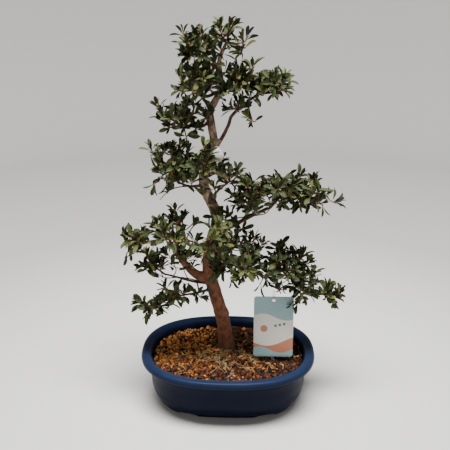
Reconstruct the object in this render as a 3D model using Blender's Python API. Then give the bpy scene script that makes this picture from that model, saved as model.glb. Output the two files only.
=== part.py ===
# An azalea bonsai in an oval glazed pot, with a hanging label card.
#
# Every length in the tables is in millimetres: x runs right, y runs back, z runs up from the table top, and
# the zero of the tables lies under the middle of the pot. Each object is built in metres through MM, and the
# empty that carries them all moves the middle of the whole bonsai onto the world origin.

import math

import bmesh
import bpy
import numpy as np
from mathutils import Matrix, Vector
from mathutils.bvhtree import BVHTree

MM = 0.001
CLEAR = 0.3  # gap between two solids that touch
CUT_OVER = 3.0  # how far a cutter passes the face it cuts
NAME = "azalea_bonsai"
SEED = 7
SHARP = math.radians(40)

# Pot: an oval of a raised power, so its corners are full. Profiles hold (inset from the rim, height).
POT_HALF = (121.2, 92.0)
POT_POWER = 2.4
POT_BASE_POWER = 3.0
POT_BASE_TOP = 12.0
POT_SIDES = 36
POT_WALL_OUTSIDE = [(28.8, 0), (27.4, 4), (21.8, 11), (13.5, 25), (12, 45), (9.4, 62.5)]
POT_RIM = [(3, 63), (0, 65.5), (0, 69.5), (2, 72.5), (5, 73.5), (12, 72)]
POT_WALL_INSIDE = [(14.5, 69.5), (15.5, 61.5), (18.5, 30), (25, 11), (30, 9)]
RECESS_INSET = 40.0
RECESS_TOP = 5.5
ARCH_X = 53.0
ARCH_PROFILE = [(-7, 4.8), (7, 4.8), (16.5, -1), (-16.5, -1)]
DRAIN_RADIUS = 7.0
DRAIN_SIDES = 16
DRAIN_X = 42.0

# Soil: it fills the pot and swells to a flat top under the trunk.
SOIL_TOP = 66.5
FOOT = (-3.0, 14.0)
SOIL_CROWN_RADIUS = 24.0
SOIL_STEPS = [(0.12, 63.7), (0.34, 64.4), (0.56, 65.1), (0.78, 65.8), (1.0, SOIL_TOP)]
SOIL_ROLL = 1.2
SOIL_ROLL_PERIODS = (38.0, 34.0)
SOIL_ROLL_FADE = (0.1, 0.22)

# Trunk: its bends from the soil to the tip, and the law of its taper.
GROUND = SOIL_TOP + CLEAR
TRUNK_BENDS = [
    (-2, 14, 60), (-8, 13, 111), (-22, 10, 167), (-27, 8, 195), (-22, 6, 232), (-15, 6, 265), (-31, 5, 309),
    (-28, 3, 335), (-18, 2, 358), (-21, 2, 388), (-22, 3, 406), (-9, 2, 433), (-11, -2, 464), (-3, -5, 486),
]
TRUNK_TIP = 1.6
TRUNK_SPREAD = 8.9
TRUNK_TAPER = 0.68
TRUNK_FLARE = 5.6
TRUNK_FLARE_REACH = 0.02
TRUNK_SIDES = 12

# Boughs: the limb each one leaves, its radius at root and tip, and its bends. The first bend is moved onto
# the axis of the parent limb.
BOUGH_SIDES = 6
THICK_BOUGH_SIDES = 8
THICK_BOUGH = 2.5
BOUGHS = {
    "bough_low_left": ("trunk", 6.0, 4.2, [(-27, 8, 173), (-42, 4, 183), (-55, -1, 197), (-67, -8, 219)]),
    "bough_left_under": ("trunk", 2.0, 1.4, [(-26, 13, 163), (-46, 12, 168), (-66, 9, 175), (-84, 5, 182)]),
    "bough_lowest_left": ("trunk", 2.1, 1.4, [(-25, 7, 156), (-42, 1, 157), (-58, -8, 158)]),
    "bough_front_low": ("trunk", 2.2, 1.6, [(-22, 6, 224), (-21, -12, 233), (-20, -24, 241)]),
    "bough_back_low": ("trunk", 2.4, 1.7, [(-23, 6, 220), (-13, 26, 211), (-8, 38, 206)]),
    "bough_low_right": ("trunk", 2.9, 1.9, [(-25, 7, 203), (0, 4, 200), (24, 2, 193), (47, 2, 184)]),
    "bough_low_right_near": ("trunk", 2.0, 1.4, [(-23, 6, 211), (-2, -9, 214), (11, -18, 214)]),
    "bough_mid_right": ("trunk", 3.1, 2.2, [(-19, 6, 245), (4, 4, 253), (23, 2, 265), (52, 2, 280)]),
    "bough_mid_right_near": ("bough_mid_right", 1.6, 1.3, [(21, 2, 264), (28, 0, 278)]),
    "bough_mid_left": ("trunk", 1.8, 1.4, [(-31, 5, 308), (-49, 4, 308), (-62, 4, 312)]),
    "bough_mid_front": ("trunk", 1.8, 1.4, [(-28, 3, 327), (-29, -12, 334), (-29, -18, 338)]),
    "bough_back_mid": ("trunk", 2.0, 1.5, [(-29, 3, 320), (-30, 20, 320), (-30, 30, 318)]),
    "bough_mid_sprig": ("trunk", 1.5, 1.1, [(-23, 6, 288), (-14, -3, 303), (-2, -7, 315)]),
    "bough_upper_left": ("trunk", 1.9, 1.4, [(-22, 2, 395), (-33, 2, 386), (-50, 2, 386)]),
    "bough_upper_right": (
        "trunk", 2.6, 1.7,
        [(-18, 2, 355), (-8, 1, 372), (0, 0, 388), (5, -1, 401), (24, -2, 418), (34, -1, 425)],
    ),
    "bough_upper_sprig": ("bough_upper_right", 1.1, 1.0, [(4, -1, 398), (9, -5, 405)]),
    "bough_hang_sprig": ("bough_upper_right", 1.1, 1.0, [(23, -2, 417), (25, -7, 411)]),
    "bough_upper_right_near": ("trunk", 1.7, 1.3, [(-10, 2, 431), (4, 2, 432)]),
    "bough_left_upper": ("trunk", 2.3, 1.6, [(-21, 3, 409), (-28, -3, 418), (-34, -5, 427)]),
    "bough_back_upper": ("trunk", 1.8, 1.4, [(-13, 3, 423), (-18, 18, 424), (-23, 27, 427)]),
    "bough_top_left": ("trunk", 1.7, 1.2, [(-11, -1, 455), (-20, -1, 461), (-27, 0, 468)]),
}

# Foliage: the limb whose tip carries each mass, and the egg-shaped lobes it fills, as centre and half sizes.
FOLIAGE = {
    "foliage_low_left": (
        "bough_low_left", [(-67, -12, 254, 40, 40, 27), (-123, -8, 240, 22, 26, 22)],
    ),
    "foliage_left_under": ("bough_left_under", [(-105, 6, 204, 26, 26, 17)]),
    "foliage_lowest_left": (
        "bough_lowest_left", [(-70, -16, 167, 24, 21, 20), (-105, -10, 150, 25, 24, 21)],
    ),
    "foliage_front_low": ("bough_front_low", [(-20, -45, 258, 28, 29, 31)]),
    "foliage_back_low": ("bough_back_low", [(-4, 60, 201, 38, 35, 28)]),
    "foliage_low_right_near": ("bough_low_right_near", [(24, -28, 217, 27, 26, 29)]),
    "foliage_low_right": (
        "bough_low_right",
        [(75, 2, 203, 34, 38, 30), (103, -4, 176, 24, 26, 28), (141, 4, 162, 23, 20, 19)],
    ),
    "foliage_mid_right_near": ("bough_mid_right_near", [(28, -4, 303, 25, 31, 31)]),
    "foliage_mid_right": (
        "bough_mid_right", [(71, 2, 310, 29, 34, 27), (107, 0, 303, 29, 32, 27)],
    ),
    "foliage_mid_left": ("bough_mid_left", [(-74, 4, 340, 32, 36, 31), (-78, -2, 307, 15, 14, 13)]),
    "foliage_mid_front": ("bough_mid_front", [(-30, -31, 354, 20, 23, 29)]),
    "foliage_back_mid": ("bough_back_mid", [(-31, 52, 324, 31, 31, 28)]),
    "foliage_mid_sprig": ("bough_mid_sprig", [(3, -11, 330, 19, 18, 20)]),
    "foliage_upper_left": ("bough_upper_left", [(-66, 2, 399, 29, 30, 21)]),
    "foliage_upper_right_near": ("bough_upper_right_near", [(16, 2, 445, 20, 27, 22)]),
    "foliage_upper_right": ("bough_upper_right", [(54, 0, 441, 28, 29, 21)]),
    "foliage_upper_sprig": ("bough_upper_sprig", [(14, -9, 416, 14, 13, 14)]),
    "foliage_hang_sprig": ("bough_hang_sprig", [(29, -12, 402, 13, 12, 13)]),
    "foliage_left_upper": ("bough_left_upper", [(-45, -8, 444, 30, 32, 25)]),
    "foliage_back_upper": ("bough_back_upper", [(-29, 46, 439, 25, 26, 22)]),
    "foliage_top_left": ("bough_top_left", [(-40, 0, 482, 26, 27, 23)]),
    "foliage_apex": ("trunk", [(-5, -8, 499, 19, 22, 23), (19, -8, 489, 16, 18, 20)]),
}
REACH_EDGE = 1.05  # how far past its lobes a leaf may go, as a share of their size
APART = 0.05  # margin kept towards a neighbour's lobes, in the same share
LIMB_MARGIN = 1.6

# The stem of a mass, and the law by which its shoot tips are spread and joined to it.
STEM_STRAIGHT = 3.0
STEM_DROP = 0.4  # how far under the middle of each lobe it passes, as a share of the lobe's half height
STEM_END = 1.2
STEM_STEP = 14.0
TIP_INSET = 7.0
TIP_LEAST_HALF = 0.45
TIP_DEPTH = (0.75, 1.0)
TIP_SPACING = (11.0, 0.38)  # a length, and a share of the lobe's mean half size
TIP_LOWEST = -0.55
TIP_THROWS = 400
PATH_WEIGHT = 0.35
FALL_WEIGHT = 0.6
KNEE_AT = 0.55
KNEE_SAG = 0.12
TWIG_RADIUS = (1.4, 1.1)
SPRIG_TWIGS = 2  # a mass with no more twigs than this has leaves on the end of its stem too

# Leaves: a rosette round each shoot tip, each leaf leaning out from the shoot and starting inside it.
LEAVES_PER_TIP = 4
LEAF_LENGTHS = (30.0, 26.0, 22.0, 18.0, 14.0)  # the first that fits is taken
LEAF_WIDTH = 0.44
LEAF_WIDEST = 0.6
LEAF_THICKNESS = 0.045
LEAF_LEAN = (84.0, 44.0)
LEAF_SUNK = 3.8
LEAF_STEP = 0.9
LEAF_BARE = 4.0
SHOOT_FORWARD = 0.5
SHOOT_RISE = 0.8
GOLDEN_ANGLE = math.pi * (3.0 - math.sqrt(5.0))

# Sealed pruning wound under the upper fork.
SEAL_CENTRE = (-13.5, -4.0, 352.5)
SEAL_HALF = (8.0, 7.0, 10.5)
SEAL_SIDES = 12
SEAL_RINGS = 8

# Label card on its stake.
CARD_SIZE = (54.0, 86.0, 0.8)
CARD_CORNER = 4.0
CARD_CORNER_STEPS = 4
CARD_FOOT = (62.5, -20.0, 70.9)
CARD_LEAN = math.radians(10.0)
HOLE = 4.4
HOLE_FROM_TOP = 5.0
STAKE_SIZE = (4.5, 1.6)
STAKE_ABOVE = 7.5
STAKE_BELOW = 34.0
PEG = (HOLE - 2 * CLEAR, HOLE - 2 * CLEAR, 3.6)
PEG_SET_BACK = 0.4

LOOKS = {
    "pot": ((0.012, 0.022, 0.05), 0.18),
    "soil": ((0.36, 0.15, 0.05), 0.95),
    "trunk": ((0.13, 0.07, 0.04), 0.85),
    "bough": ((0.15, 0.09, 0.05), 0.85),
    "foliage": ((0.035, 0.075, 0.02), 0.42),
    "wound_seal": ((0.72, 0.71, 0.68), 0.6),
    "label_card": ((0.68, 0.64, 0.58), 0.5),
    "label_stake": ((0.7, 0.72, 0.72), 0.2),
}


# ---- objects and modifiers

def collection_named(name, hidden=False):
    collection = bpy.data.collections.new(name)
    bpy.context.scene.collection.children.link(collection)
    collection.hide_render = hidden
    return collection


def add_object(name, mesh, collection):
    piece = bpy.data.objects.new(name, mesh)
    collection.objects.link(piece)
    return piece


def mesh_from(bm, name):
    bmesh.ops.recalc_face_normals(bm, faces=bm.faces)
    mesh = bpy.data.meshes.new(name)
    bm.to_mesh(mesh)
    bm.free()
    return mesh


def evaluated_mesh(piece):
    graph = bpy.context.evaluated_depsgraph_get()
    return bpy.data.meshes.new_from_object(piece.evaluated_get(graph))


def add_boolean(piece, operation, operand, solver="EXACT"):
    modifier = piece.modifiers.new(operation.title(), "BOOLEAN")
    modifier.operation = operation
    modifier.solver = solver
    if isinstance(operand, bpy.types.Collection):
        modifier.operand_type = "COLLECTION"
        modifier.collection = operand
    else:
        modifier.object = operand


def hide_as_cutter(piece):
    piece.hide_render = True
    piece.display_type = "WIRE"


def give_look(piece, key):
    colour, roughness = LOOKS[key]
    material = bpy.data.materials.new(piece.name)
    material.use_nodes = True
    shader = material.node_tree.nodes["Principled BSDF"]
    shader.inputs["Base Color"].default_value = (*colour, 1.0)
    shader.inputs["Roughness"].default_value = roughness
    piece.data.materials.clear()
    piece.data.materials.append(material)


def largest_body(mesh):
    # Drops loose scraps and sealed hollows, so that one closed body stays.
    bm = bmesh.new()
    bm.from_mesh(mesh)
    bm.verts.ensure_lookup_table()
    unseen = set(bm.verts)
    bodies = []
    while unseen:
        edge_of_body = [unseen.pop()]
        body = set(edge_of_body)
        while edge_of_body:
            vertex = edge_of_body.pop()
            for edge in vertex.link_edges:
                other = edge.other_vert(vertex)
                if other in unseen:
                    unseen.discard(other)
                    body.add(other)
                    edge_of_body.append(other)
        bodies.append(body)
    bodies.sort(key=len)
    scraps = [vertex for body in bodies[:-1] for vertex in body]
    bmesh.ops.delete(bm, geom=scraps, context="VERTS")
    bm.to_mesh(mesh)
    bm.free()


def fuse(name, pieces, collection):
    helpers = collection_named(name + "_pieces")
    for piece in pieces[1:]:
        collection.objects.unlink(piece)
        helpers.objects.link(piece)
    add_boolean(pieces[0], "UNION", helpers, "MANIFOLD")
    mesh = evaluated_mesh(pieces[0])
    mesh.name = name
    for piece in pieces:
        bpy.data.objects.remove(piece)
    bpy.data.collections.remove(helpers)
    largest_body(mesh)
    return add_object(name, mesh, collection)


# ---- courses and limbs

def smooth_course(bends, per_span):
    # Catmull-Rom curve through the bends.
    bends = np.array(bends, float)
    padded = np.vstack([2 * bends[0] - bends[1], bends, 2 * bends[-1] - bends[-2]])
    course = []
    for a, b, c, d in zip(padded, padded[1:], padded[2:], padded[3:]):
        for t in np.arange(per_span) / per_span:
            bend = (2 * a - 5 * b + 4 * c - d) * t**2 + (3 * b - a - 3 * c + d) * t**3
            course.append(b + 0.5 * ((c - a) * t + bend))
    return np.array(course + [bends[-1]])


def shares_along(course):
    steps = np.linalg.norm(np.diff(course, axis=0), axis=1)
    return np.concatenate([[0.0], np.cumsum(steps)]) / steps.sum()


def unit(vector):
    return vector / max(np.linalg.norm(vector), 1e-9)


def limb_mesh(name, course, radii, sides):
    curve = bpy.data.curves.new(name, "CURVE")
    curve.dimensions = "3D"
    curve.use_fill_caps = True
    if sides == 3:
        curve.bevel_mode = "OBJECT"
        curve.bevel_object = bpy.data.objects["three_sided_profile"]
    else:
        curve.bevel_depth = 1.0
        curve.bevel_resolution = (sides - 4) // 2
    spline = curve.splines.new("POLY")
    spline.points.add(len(course) - 1)
    for point, place, radius in zip(spline.points, course, radii):
        point.co = (*(place * MM), 1.0)
        point.radius = radius * MM
    holder = add_object(name, curve, bpy.context.scene.collection)
    mesh = evaluated_mesh(holder)
    bpy.data.objects.remove(holder)
    bm = bmesh.new()
    bm.from_mesh(mesh)
    bmesh.ops.remove_doubles(bm, verts=bm.verts, dist=1e-6)
    bpy.data.meshes.remove(mesh)
    return mesh_from(bm, name)


def add_three_sided_profile(collection):
    profile = bpy.data.curves.new("three_sided_profile", "CURVE")
    spline = profile.splines.new("POLY")
    spline.points.add(2)
    spline.use_cyclic_u = True
    for k, point in enumerate(spline.points):
        angle = 2 * math.pi * k / 3
        point.co = (math.cos(angle), math.sin(angle), 0.0, 1.0)
    hide_as_cutter(add_object("three_sided_profile", profile, collection))


# ---- pot and soil

def oval_ring(inset, height):
    # The plan is squarer at the pot's base than at its rim.
    power = POT_BASE_POWER if height < POT_BASE_TOP else POT_POWER
    ring = []
    for k in range(POT_SIDES):
        angle = 2 * math.pi * (k + 0.5) / POT_SIDES
        flat = [
            (half - inset) * math.copysign(abs(side) ** (2 / power), side)
            for half, side in zip(POT_HALF, (math.cos(angle), math.sin(angle)))
        ]
        ring.append(Vector((*flat, height)))
    return ring


def loft(name, rings):
    # Closed solid through rings of equal count, capped at both ends.
    bm = bmesh.new()
    rows = [[bm.verts.new(point * MM) for point in ring] for ring in rings]
    for low, high in zip(rows, rows[1:]):
        for k in range(len(low)):
            n = (k + 1) % len(low)
            bm.faces.new((low[k], low[n], high[n], high[k]))
    bm.faces.new(reversed(rows[0]))
    bm.faces.new(rows[-1])
    return mesh_from(bm, name)


def cylinder_mesh(name, radius, span):
    low, high = span
    bm = bmesh.new()
    bmesh.ops.create_cone(
        bm, cap_ends=True, segments=DRAIN_SIDES, radius1=radius * MM, radius2=radius * MM,
        depth=(high - low + 2 * CUT_OVER) * MM,
    )
    bmesh.ops.translate(bm, verts=bm.verts, vec=Vector((0, 0, (low + high) / 2)) * MM)
    return mesh_from(bm, name)


def box_mesh(name, size, centre=(0, 0, 0)):
    bm = bmesh.new()
    bmesh.ops.create_cube(bm, size=1.0)
    bmesh.ops.scale(bm, verts=bm.verts, vec=Vector(size) * MM)
    bmesh.ops.translate(bm, verts=bm.verts, vec=Vector(centre) * MM)
    return mesh_from(bm, name)


def cut_feet(pot, cutters):
    # The wall runs down to the ground round a recess; low arches open it into four long feet.
    recess = [oval_ring(RECESS_INSET, height) for height in (-CUT_OVER, RECESS_TOP)]
    shapes = {"recess": loft("recess", recess)}
    for side, name in ((-1, "arch_left"), (1, "arch_right")):
        ends = [
            [Vector((side * ARCH_X + x, y, z)) for x, z in ARCH_PROFILE]
            for y in (-POT_HALF[1], POT_HALF[1])
        ]
        shapes[name] = loft(name, ends)
    for name, mesh in shapes.items():
        cutter = add_object(name, mesh, cutters)
        hide_as_cutter(cutter)
        add_boolean(pot, "DIFFERENCE", cutter)


def build_pot(parts, cutters):
    profile = POT_WALL_OUTSIDE + POT_RIM + POT_WALL_INSIDE
    pot = add_object("pot", loft("pot", [oval_ring(*station) for station in profile]), parts)
    cut_feet(pot, cutters)
    floor = (RECESS_TOP, POT_WALL_INSIDE[-1][1])
    for side in (-1, 1):
        drain = add_object(f"drain_{side}", cylinder_mesh("drain", DRAIN_RADIUS, floor), cutters)
        drain.location.x = side * DRAIN_X * MM
        hide_as_cutter(drain)
        add_boolean(pot, "DIFFERENCE", drain)
    give_look(pot, "pot")


def soil_roll(x, y, share):
    # Low swells and hollows, which die out at the wall and at the flat under the trunk.
    turns = [2 * math.pi * place / period for place, period in zip((x, y), SOIL_ROLL_PERIODS)]
    fade = min(share / SOIL_ROLL_FADE[0], (1 - share) / SOIL_ROLL_FADE[1], 1)
    return SOIL_ROLL * fade * math.sin(turns[0] + math.sin(turns[1])) * math.cos(turns[1])


def build_soil(parts, cutters):
    # The inside of the pot from its floor up, drawn in by the gap, then a top that swells round the trunk.
    sides = [oval_ring(inset + CLEAR, height) for inset, height in POT_WALL_INSIDE[:0:-1]]
    floor, floor_edge = sides[:2]
    for point in floor + floor_edge:
        point.z += CLEAR
    edge = sides[-1]
    top = []
    for share, height in SOIL_STEPS:
        ring = []
        for point in edge:
            outward = Vector((point.x - FOOT[0], point.y - FOOT[1], 0)).normalized() * SOIL_CROWN_RADIUS
            crown = Vector((FOOT[0] + outward.x, FOOT[1] + outward.y, height))
            x, y = point.lerp(crown, share).xy
            ring.append(Vector((x, y, height + soil_roll(x, y, share))))
        top.append(ring)
    soil = add_object("soil", loft("soil", sides + top), parts)
    add_boolean(soil, "DIFFERENCE", bpy.data.objects["stake_slot"])
    give_look(soil, "soil")


# ---- trunk and boughs

def trunk_radius(share):
    taper = TRUNK_TIP + TRUNK_SPREAD * (1 - share) ** TRUNK_TAPER
    return taper + TRUNK_FLARE * math.exp(-share / TRUNK_FLARE_REACH)


def cut_flat(mesh, height):
    bm = bmesh.new()
    bm.from_mesh(mesh)
    cut = bmesh.ops.bisect_plane(
        bm, geom=bm.verts[:] + bm.edges[:] + bm.faces[:],
        plane_co=(0, 0, height * MM), plane_no=(0, 0, 1), clear_inner=True,
    )
    rim = [item for item in cut["geom_cut"] if isinstance(item, bmesh.types.BMEdge)]
    bmesh.ops.contextual_create(bm, geom=rim)
    bmesh.ops.recalc_face_normals(bm, faces=bm.faces)
    bm.to_mesh(mesh)
    bm.free()


def add_limb(name, course, radii, sides, parts, cutters):
    # The limb itself, and a wider copy that cuts whatever grows from it 0.3 mm clear.
    piece = add_object(name, limb_mesh(name, course, radii, sides), parts)
    wide = add_object(name + "_wide", limb_mesh(name + "_wide", course, radii + CLEAR, sides), cutters)
    hide_as_cutter(wide)
    give_look(piece, name.split("_")[0])
    return piece


def build_limbs(parts, cutters):
    # Returns each limb as its course and radii.
    course = smooth_course(TRUNK_BENDS, 2)
    radii = np.array([trunk_radius(share) for share in shares_along(course)])
    trunk = add_limb("trunk", course, radii, TRUNK_SIDES, parts, cutters)
    cut_flat(trunk.data, GROUND)
    limbs = {"trunk": (course, radii)}
    for name, (parent, root, tip, bends) in BOUGHS.items():
        axis = smooth_course(limbs[parent][0], 3)
        nearest = axis[np.argmin(np.linalg.norm(axis - np.array(bends[0]), axis=1))]
        course = smooth_course([nearest] + bends[1:], 2)
        radii = root + (tip - root) * shares_along(course)
        sides = THICK_BOUGH_SIDES if root > THICK_BOUGH else BOUGH_SIDES
        bough = add_limb(name, course, radii, sides, parts, cutters)
        add_boolean(bough, "DIFFERENCE", bpy.data.objects[parent + "_wide"])
        limbs[name] = (course, radii)
    return limbs


def build_seal(parts):
    # Returns the seal as a short limb that holds it, for the foliage to keep clear of.
    bm = bmesh.new()
    bmesh.ops.create_uvsphere(bm, u_segments=SEAL_SIDES, v_segments=SEAL_RINGS, radius=MM)
    bmesh.ops.scale(bm, verts=bm.verts, vec=SEAL_HALF)
    bmesh.ops.translate(bm, verts=bm.verts, vec=Vector(SEAL_CENTRE) * MM)
    seal = add_object("wound_seal", mesh_from(bm, "wound_seal"), parts)
    for limb in ("trunk", "bough_upper_right"):
        add_boolean(seal, "DIFFERENCE", bpy.data.objects[limb + "_wide"])
    give_look(seal, "wound_seal")
    reach = np.array([0, 0, SEAL_HALF[2] - SEAL_HALF[0]])
    return np.array([SEAL_CENTRE - reach, SEAL_CENTRE + reach]), np.array([SEAL_HALF[0], SEAL_HALF[0]])


# ---- foliage

def share_of(point, lobes):
    # Least distance to the lobes, where 1 is on a lobe's surface.
    return min(np.linalg.norm((point - lobe[:3]) / lobe[3:]) for lobe in lobes)


def in_own_space(point, mass, lobes_of):
    own = share_of(point, lobes_of[mass])
    if own > REACH_EDGE:
        return False
    return all(share_of(point, lobes) > own + APART for name, lobes in lobes_of.items() if name != mass)


def clearance(point, limbs):
    # Distance from a point to the surface of the nearest limb.
    least = math.inf
    for course, radii in limbs.values():
        starts = course[:-1]
        spans = np.diff(course, axis=0)
        shares = ((point - starts) * spans).sum(1) / (spans**2).sum(1)
        shares = np.clip(shares, 0, 1)
        nearest = starts + spans * shares[:, None]
        gaps = np.linalg.norm(point - nearest, axis=1) - (radii[:-1] + (radii[1:] - radii[:-1]) * shares)
        least = min(least, gaps.min())
    return least


def between(start, end, count):
    return [start + (end - start) * k / count for k in range(1, count + 1)]


def stem_course(limb, lobes):
    # The stem: straight on from the tip of its limb, then through the lower part of each lobe.
    course, radii = limb
    tip = course[-1]
    ahead = unit(course[-1] - course[-2])
    bends = [tip + ahead * CLEAR, tip + ahead * (CLEAR + STEM_STRAIGHT)]
    bends += [lobe[:3] - np.array([0, 0, STEM_DROP * lobe[5]]) for lobe in lobes]
    stem = [bends[0]]
    for start, end in zip(bends, bends[1:]):
        stem += between(start, end, max(1, int(np.linalg.norm(end - start) / STEM_STEP)))
    return np.array(stem), radii[-1]


def throw_tips(rng, mass, lobes_of, limbs):
    tips = []
    for lobe in lobes_of[mass]:
        half = np.maximum(lobe[3:] - TIP_INSET, TIP_LEAST_HALF * lobe[3:])
        spacing = TIP_SPACING[0] + TIP_SPACING[1] * lobe[3:].mean()
        for _ in range(TIP_THROWS):
            way = unit(rng.normal(size=3))
            tip = lobe[:3] + way * half * rng.uniform(*TIP_DEPTH)
            crowded = any(np.linalg.norm(tip - other) < spacing for other in tips)
            if way[2] < TIP_LOWEST or crowded or not in_own_space(tip, mass, lobes_of):
                continue
            if clearance(tip, limbs) > 2 * LIMB_MARGIN:
                tips.append(tip)
    return tips


def grow_twigs(tips, stem, mass, lobes_of, limbs):
    # Nearest tips first, each from the node that gives the shortest way home, rising from a knee.
    nodes = [(point, STEM_STEP * k) for k, point in enumerate(stem) if k > 0]
    twigs = []
    for tip in sorted(tips, key=lambda tip: np.linalg.norm(tip - stem[1])):
        def cost(node):
            point, run = node
            return np.linalg.norm(tip - point) + PATH_WEIGHT * run + FALL_WEIGHT * max(point[2] - tip[2], 0)

        root, run = min(nodes, key=cost)
        reach = np.linalg.norm(tip - root)
        knee = root + KNEE_AT * (tip - root) - np.array([0, 0, KNEE_SAG * reach])
        twig = np.array([root, knee, tip])
        tests = smooth_course(twig, 3)[1:]
        if any(clearance(point, limbs) < LIMB_MARGIN for point in tests):
            continue
        if not all(in_own_space(point, mass, lobes_of) for point in tests[2:]):
            continue
        twigs.append(twig)
        nodes += [(knee, run + KNEE_AT * reach), (tip, run + reach)]
    return twigs


def frame_towards(direction, upper):
    side = unit(np.cross(upper, direction))
    return side, np.cross(direction, side)


def fits(outline, placed, mass, lobes_of, limbs):
    if not all(in_own_space(point, mass, lobes_of) for point in outline):
        return False
    if any(clearance(point, limbs) < LIMB_MARGIN for point in outline):
        return False
    blade = BVHTree.FromPolygons(outline, [(0, 1, 2, 3)])
    return not any(blade.overlap(other) for other in placed)


def grow_leaves(rng, twigs, mass, lobes_of, limbs):
    # A rosette round the tip of each twig, as (root, direction, side, normal, length).
    leaves = []
    placed = []
    for course in twigs:
        axis = unit(course[-1] - course[-2])
        upward = unit(SHOOT_FORWARD * axis + np.array([0, 0, SHOOT_RISE]))
        side, front = frame_towards(upward, unit(rng.normal(size=3)))
        turn = rng.uniform(0, 2 * math.pi)
        for k in range(LEAVES_PER_TIP):
            angle = turn + k * GOLDEN_ANGLE
            lean = math.radians(LEAF_LEAN[0] + (LEAF_LEAN[1] - LEAF_LEAN[0]) * k / (LEAVES_PER_TIP - 1))
            out = math.cos(angle) * side + math.sin(angle) * front
            direction = unit(math.cos(lean) * upward + math.sin(lean) * out)
            root = course[-1] - axis * (LEAF_SUNK - LEAF_STEP * k)
            across, normal = frame_towards(direction, upward)
            for length in LEAF_LENGTHS:
                wide = root + direction * LEAF_WIDEST * length
                edge = across * LEAF_WIDTH * length / 2
                bare, tip = root + direction * LEAF_BARE, root + direction * length
                outline = [bare, wide + edge, tip, wide - edge]
                if fits(outline, placed, mass, lobes_of, limbs):
                    leaves.append((root, direction, across, normal, length))
                    placed.append(BVHTree.FromPolygons(outline, [(0, 1, 2, 3)]))
                    break
    return leaves


def leaf_mesh(name, root, direction, across, normal, length):
    bm = bmesh.new()
    bmesh.ops.create_uvsphere(bm, u_segments=4, v_segments=2, radius=1.0)
    half = Vector((LEAF_WIDTH, LEAF_THICKNESS, 1.0)) * length / 2
    for vertex in bm.verts:
        if abs(vertex.co.z) < 0.5:
            vertex.co.z += 2 * LEAF_WIDEST - 1
    bmesh.ops.scale(bm, verts=bm.verts, vec=half * MM)
    middle = Vector(root + direction * length / 2) * MM
    turn = Matrix((across, normal, direction)).transposed().to_4x4()
    bmesh.ops.transform(bm, verts=bm.verts, matrix=Matrix.Translation(middle) @ turn)
    return mesh_from(bm, name)


def build_foliage(parts, limbs):
    lobes_of = {name: np.array(lobes, float) for name, (_, lobes) in FOLIAGE.items()}
    for number, (name, (carrier, _)) in enumerate(FOLIAGE.items()):
        rng = np.random.default_rng(SEED + number)
        stem, root_radius = stem_course(limbs[carrier], lobes_of[name])
        stem_radii = root_radius + (STEM_END - root_radius) * shares_along(stem)
        tips = throw_tips(rng, name, lobes_of, limbs)
        twigs = grow_twigs(tips, stem, name, lobes_of, limbs)
        shoots = twigs if len(twigs) > SPRIG_TWIGS else [stem] + twigs
        leaves = grow_leaves(rng, shoots, name, lobes_of, limbs)
        pieces = [add_object(name, limb_mesh(name, stem, stem_radii, 6), parts)]
        for course in twigs:
            radii = np.linspace(*TWIG_RADIUS, len(course))
            pieces.append(add_object("twig", limb_mesh("twig", course, radii, 3), parts))
        for leaf in leaves:
            pieces.append(add_object("leaf", leaf_mesh("leaf", *leaf), parts))
        mass = fuse(name, pieces, parts)
        give_look(mass, "foliage")


# ---- label

def rounded_rectangle(width, height, corner):
    points = []
    for x, y, start in ((1, 1, 0), (-1, 1, 90), (-1, -1, 180), (1, -1, 270)):
        centre = np.array([x * (width / 2 - corner), y * (height / 2 - corner)])
        for k in range(CARD_CORNER_STEPS + 1):
            angle = math.radians(start + 90 * k / CARD_CORNER_STEPS)
            points.append(centre + corner * np.array([math.cos(angle), math.sin(angle)]))
    return points


def label_place():
    # The middle of the card, with its local y running up the card.
    turn = Matrix.Rotation(math.pi / 2 - CARD_LEAN, 4, "X")
    middle = Vector(CARD_FOOT) + turn.to_3x3() @ Vector((0, CARD_SIZE[1] / 2, 0))
    return Matrix.Translation(middle * MM) @ turn


def build_card(parts):
    width, height, thickness = CARD_SIZE
    outline = bpy.data.curves.new("label_card", "CURVE")
    outline.dimensions = "2D"
    outline.fill_mode = "BOTH"
    outline.extrude = thickness / 2 * MM
    hole_y = height / 2 - HOLE_FROM_TOP
    hole = [(x * HOLE / 2, hole_y + y * HOLE / 2) for x, y in ((1, 1), (1, -1), (-1, -1), (-1, 1))]
    for points in (rounded_rectangle(width, height, CARD_CORNER), hole):
        spline = outline.splines.new("POLY")
        spline.points.add(len(points) - 1)
        spline.use_cyclic_u = True
        for point, (x, y) in zip(spline.points, points):
            point.co = (x * MM, y * MM, 0, 1)
    card = add_object("label_card", outline, parts)
    card.matrix_world = label_place()
    give_look(card, "label_card")


def stake_mesh(name, grow):
    width, thickness = STAKE_SIZE
    low = -CARD_SIZE[1] / 2 - STAKE_BELOW
    high = CARD_SIZE[1] / 2 + STAKE_ABOVE
    back = -CARD_SIZE[2] / 2 - CLEAR - thickness / 2
    size = (width + 2 * grow, high - low + 2 * grow, thickness + 2 * grow)
    return box_mesh(name, size, (0, (low + high) / 2, back))


def build_stake(parts, cutters):
    slot = add_object("stake_slot", stake_mesh("stake_slot", CLEAR), cutters)
    slot.matrix_world = label_place()
    hide_as_cutter(slot)
    peg_y = CARD_SIZE[1] / 2 - HOLE_FROM_TOP
    peg = add_object("stake_peg", box_mesh("stake_peg", PEG, (0, peg_y, -PEG_SET_BACK)), cutters)
    peg.matrix_world = label_place()
    hide_as_cutter(peg)
    stake = add_object("label_stake", stake_mesh("label_stake", 0.0), parts)
    stake.matrix_world = label_place()
    add_boolean(stake, "UNION", peg)
    give_look(stake, "label_stake")


# ---- the whole bonsai

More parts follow.
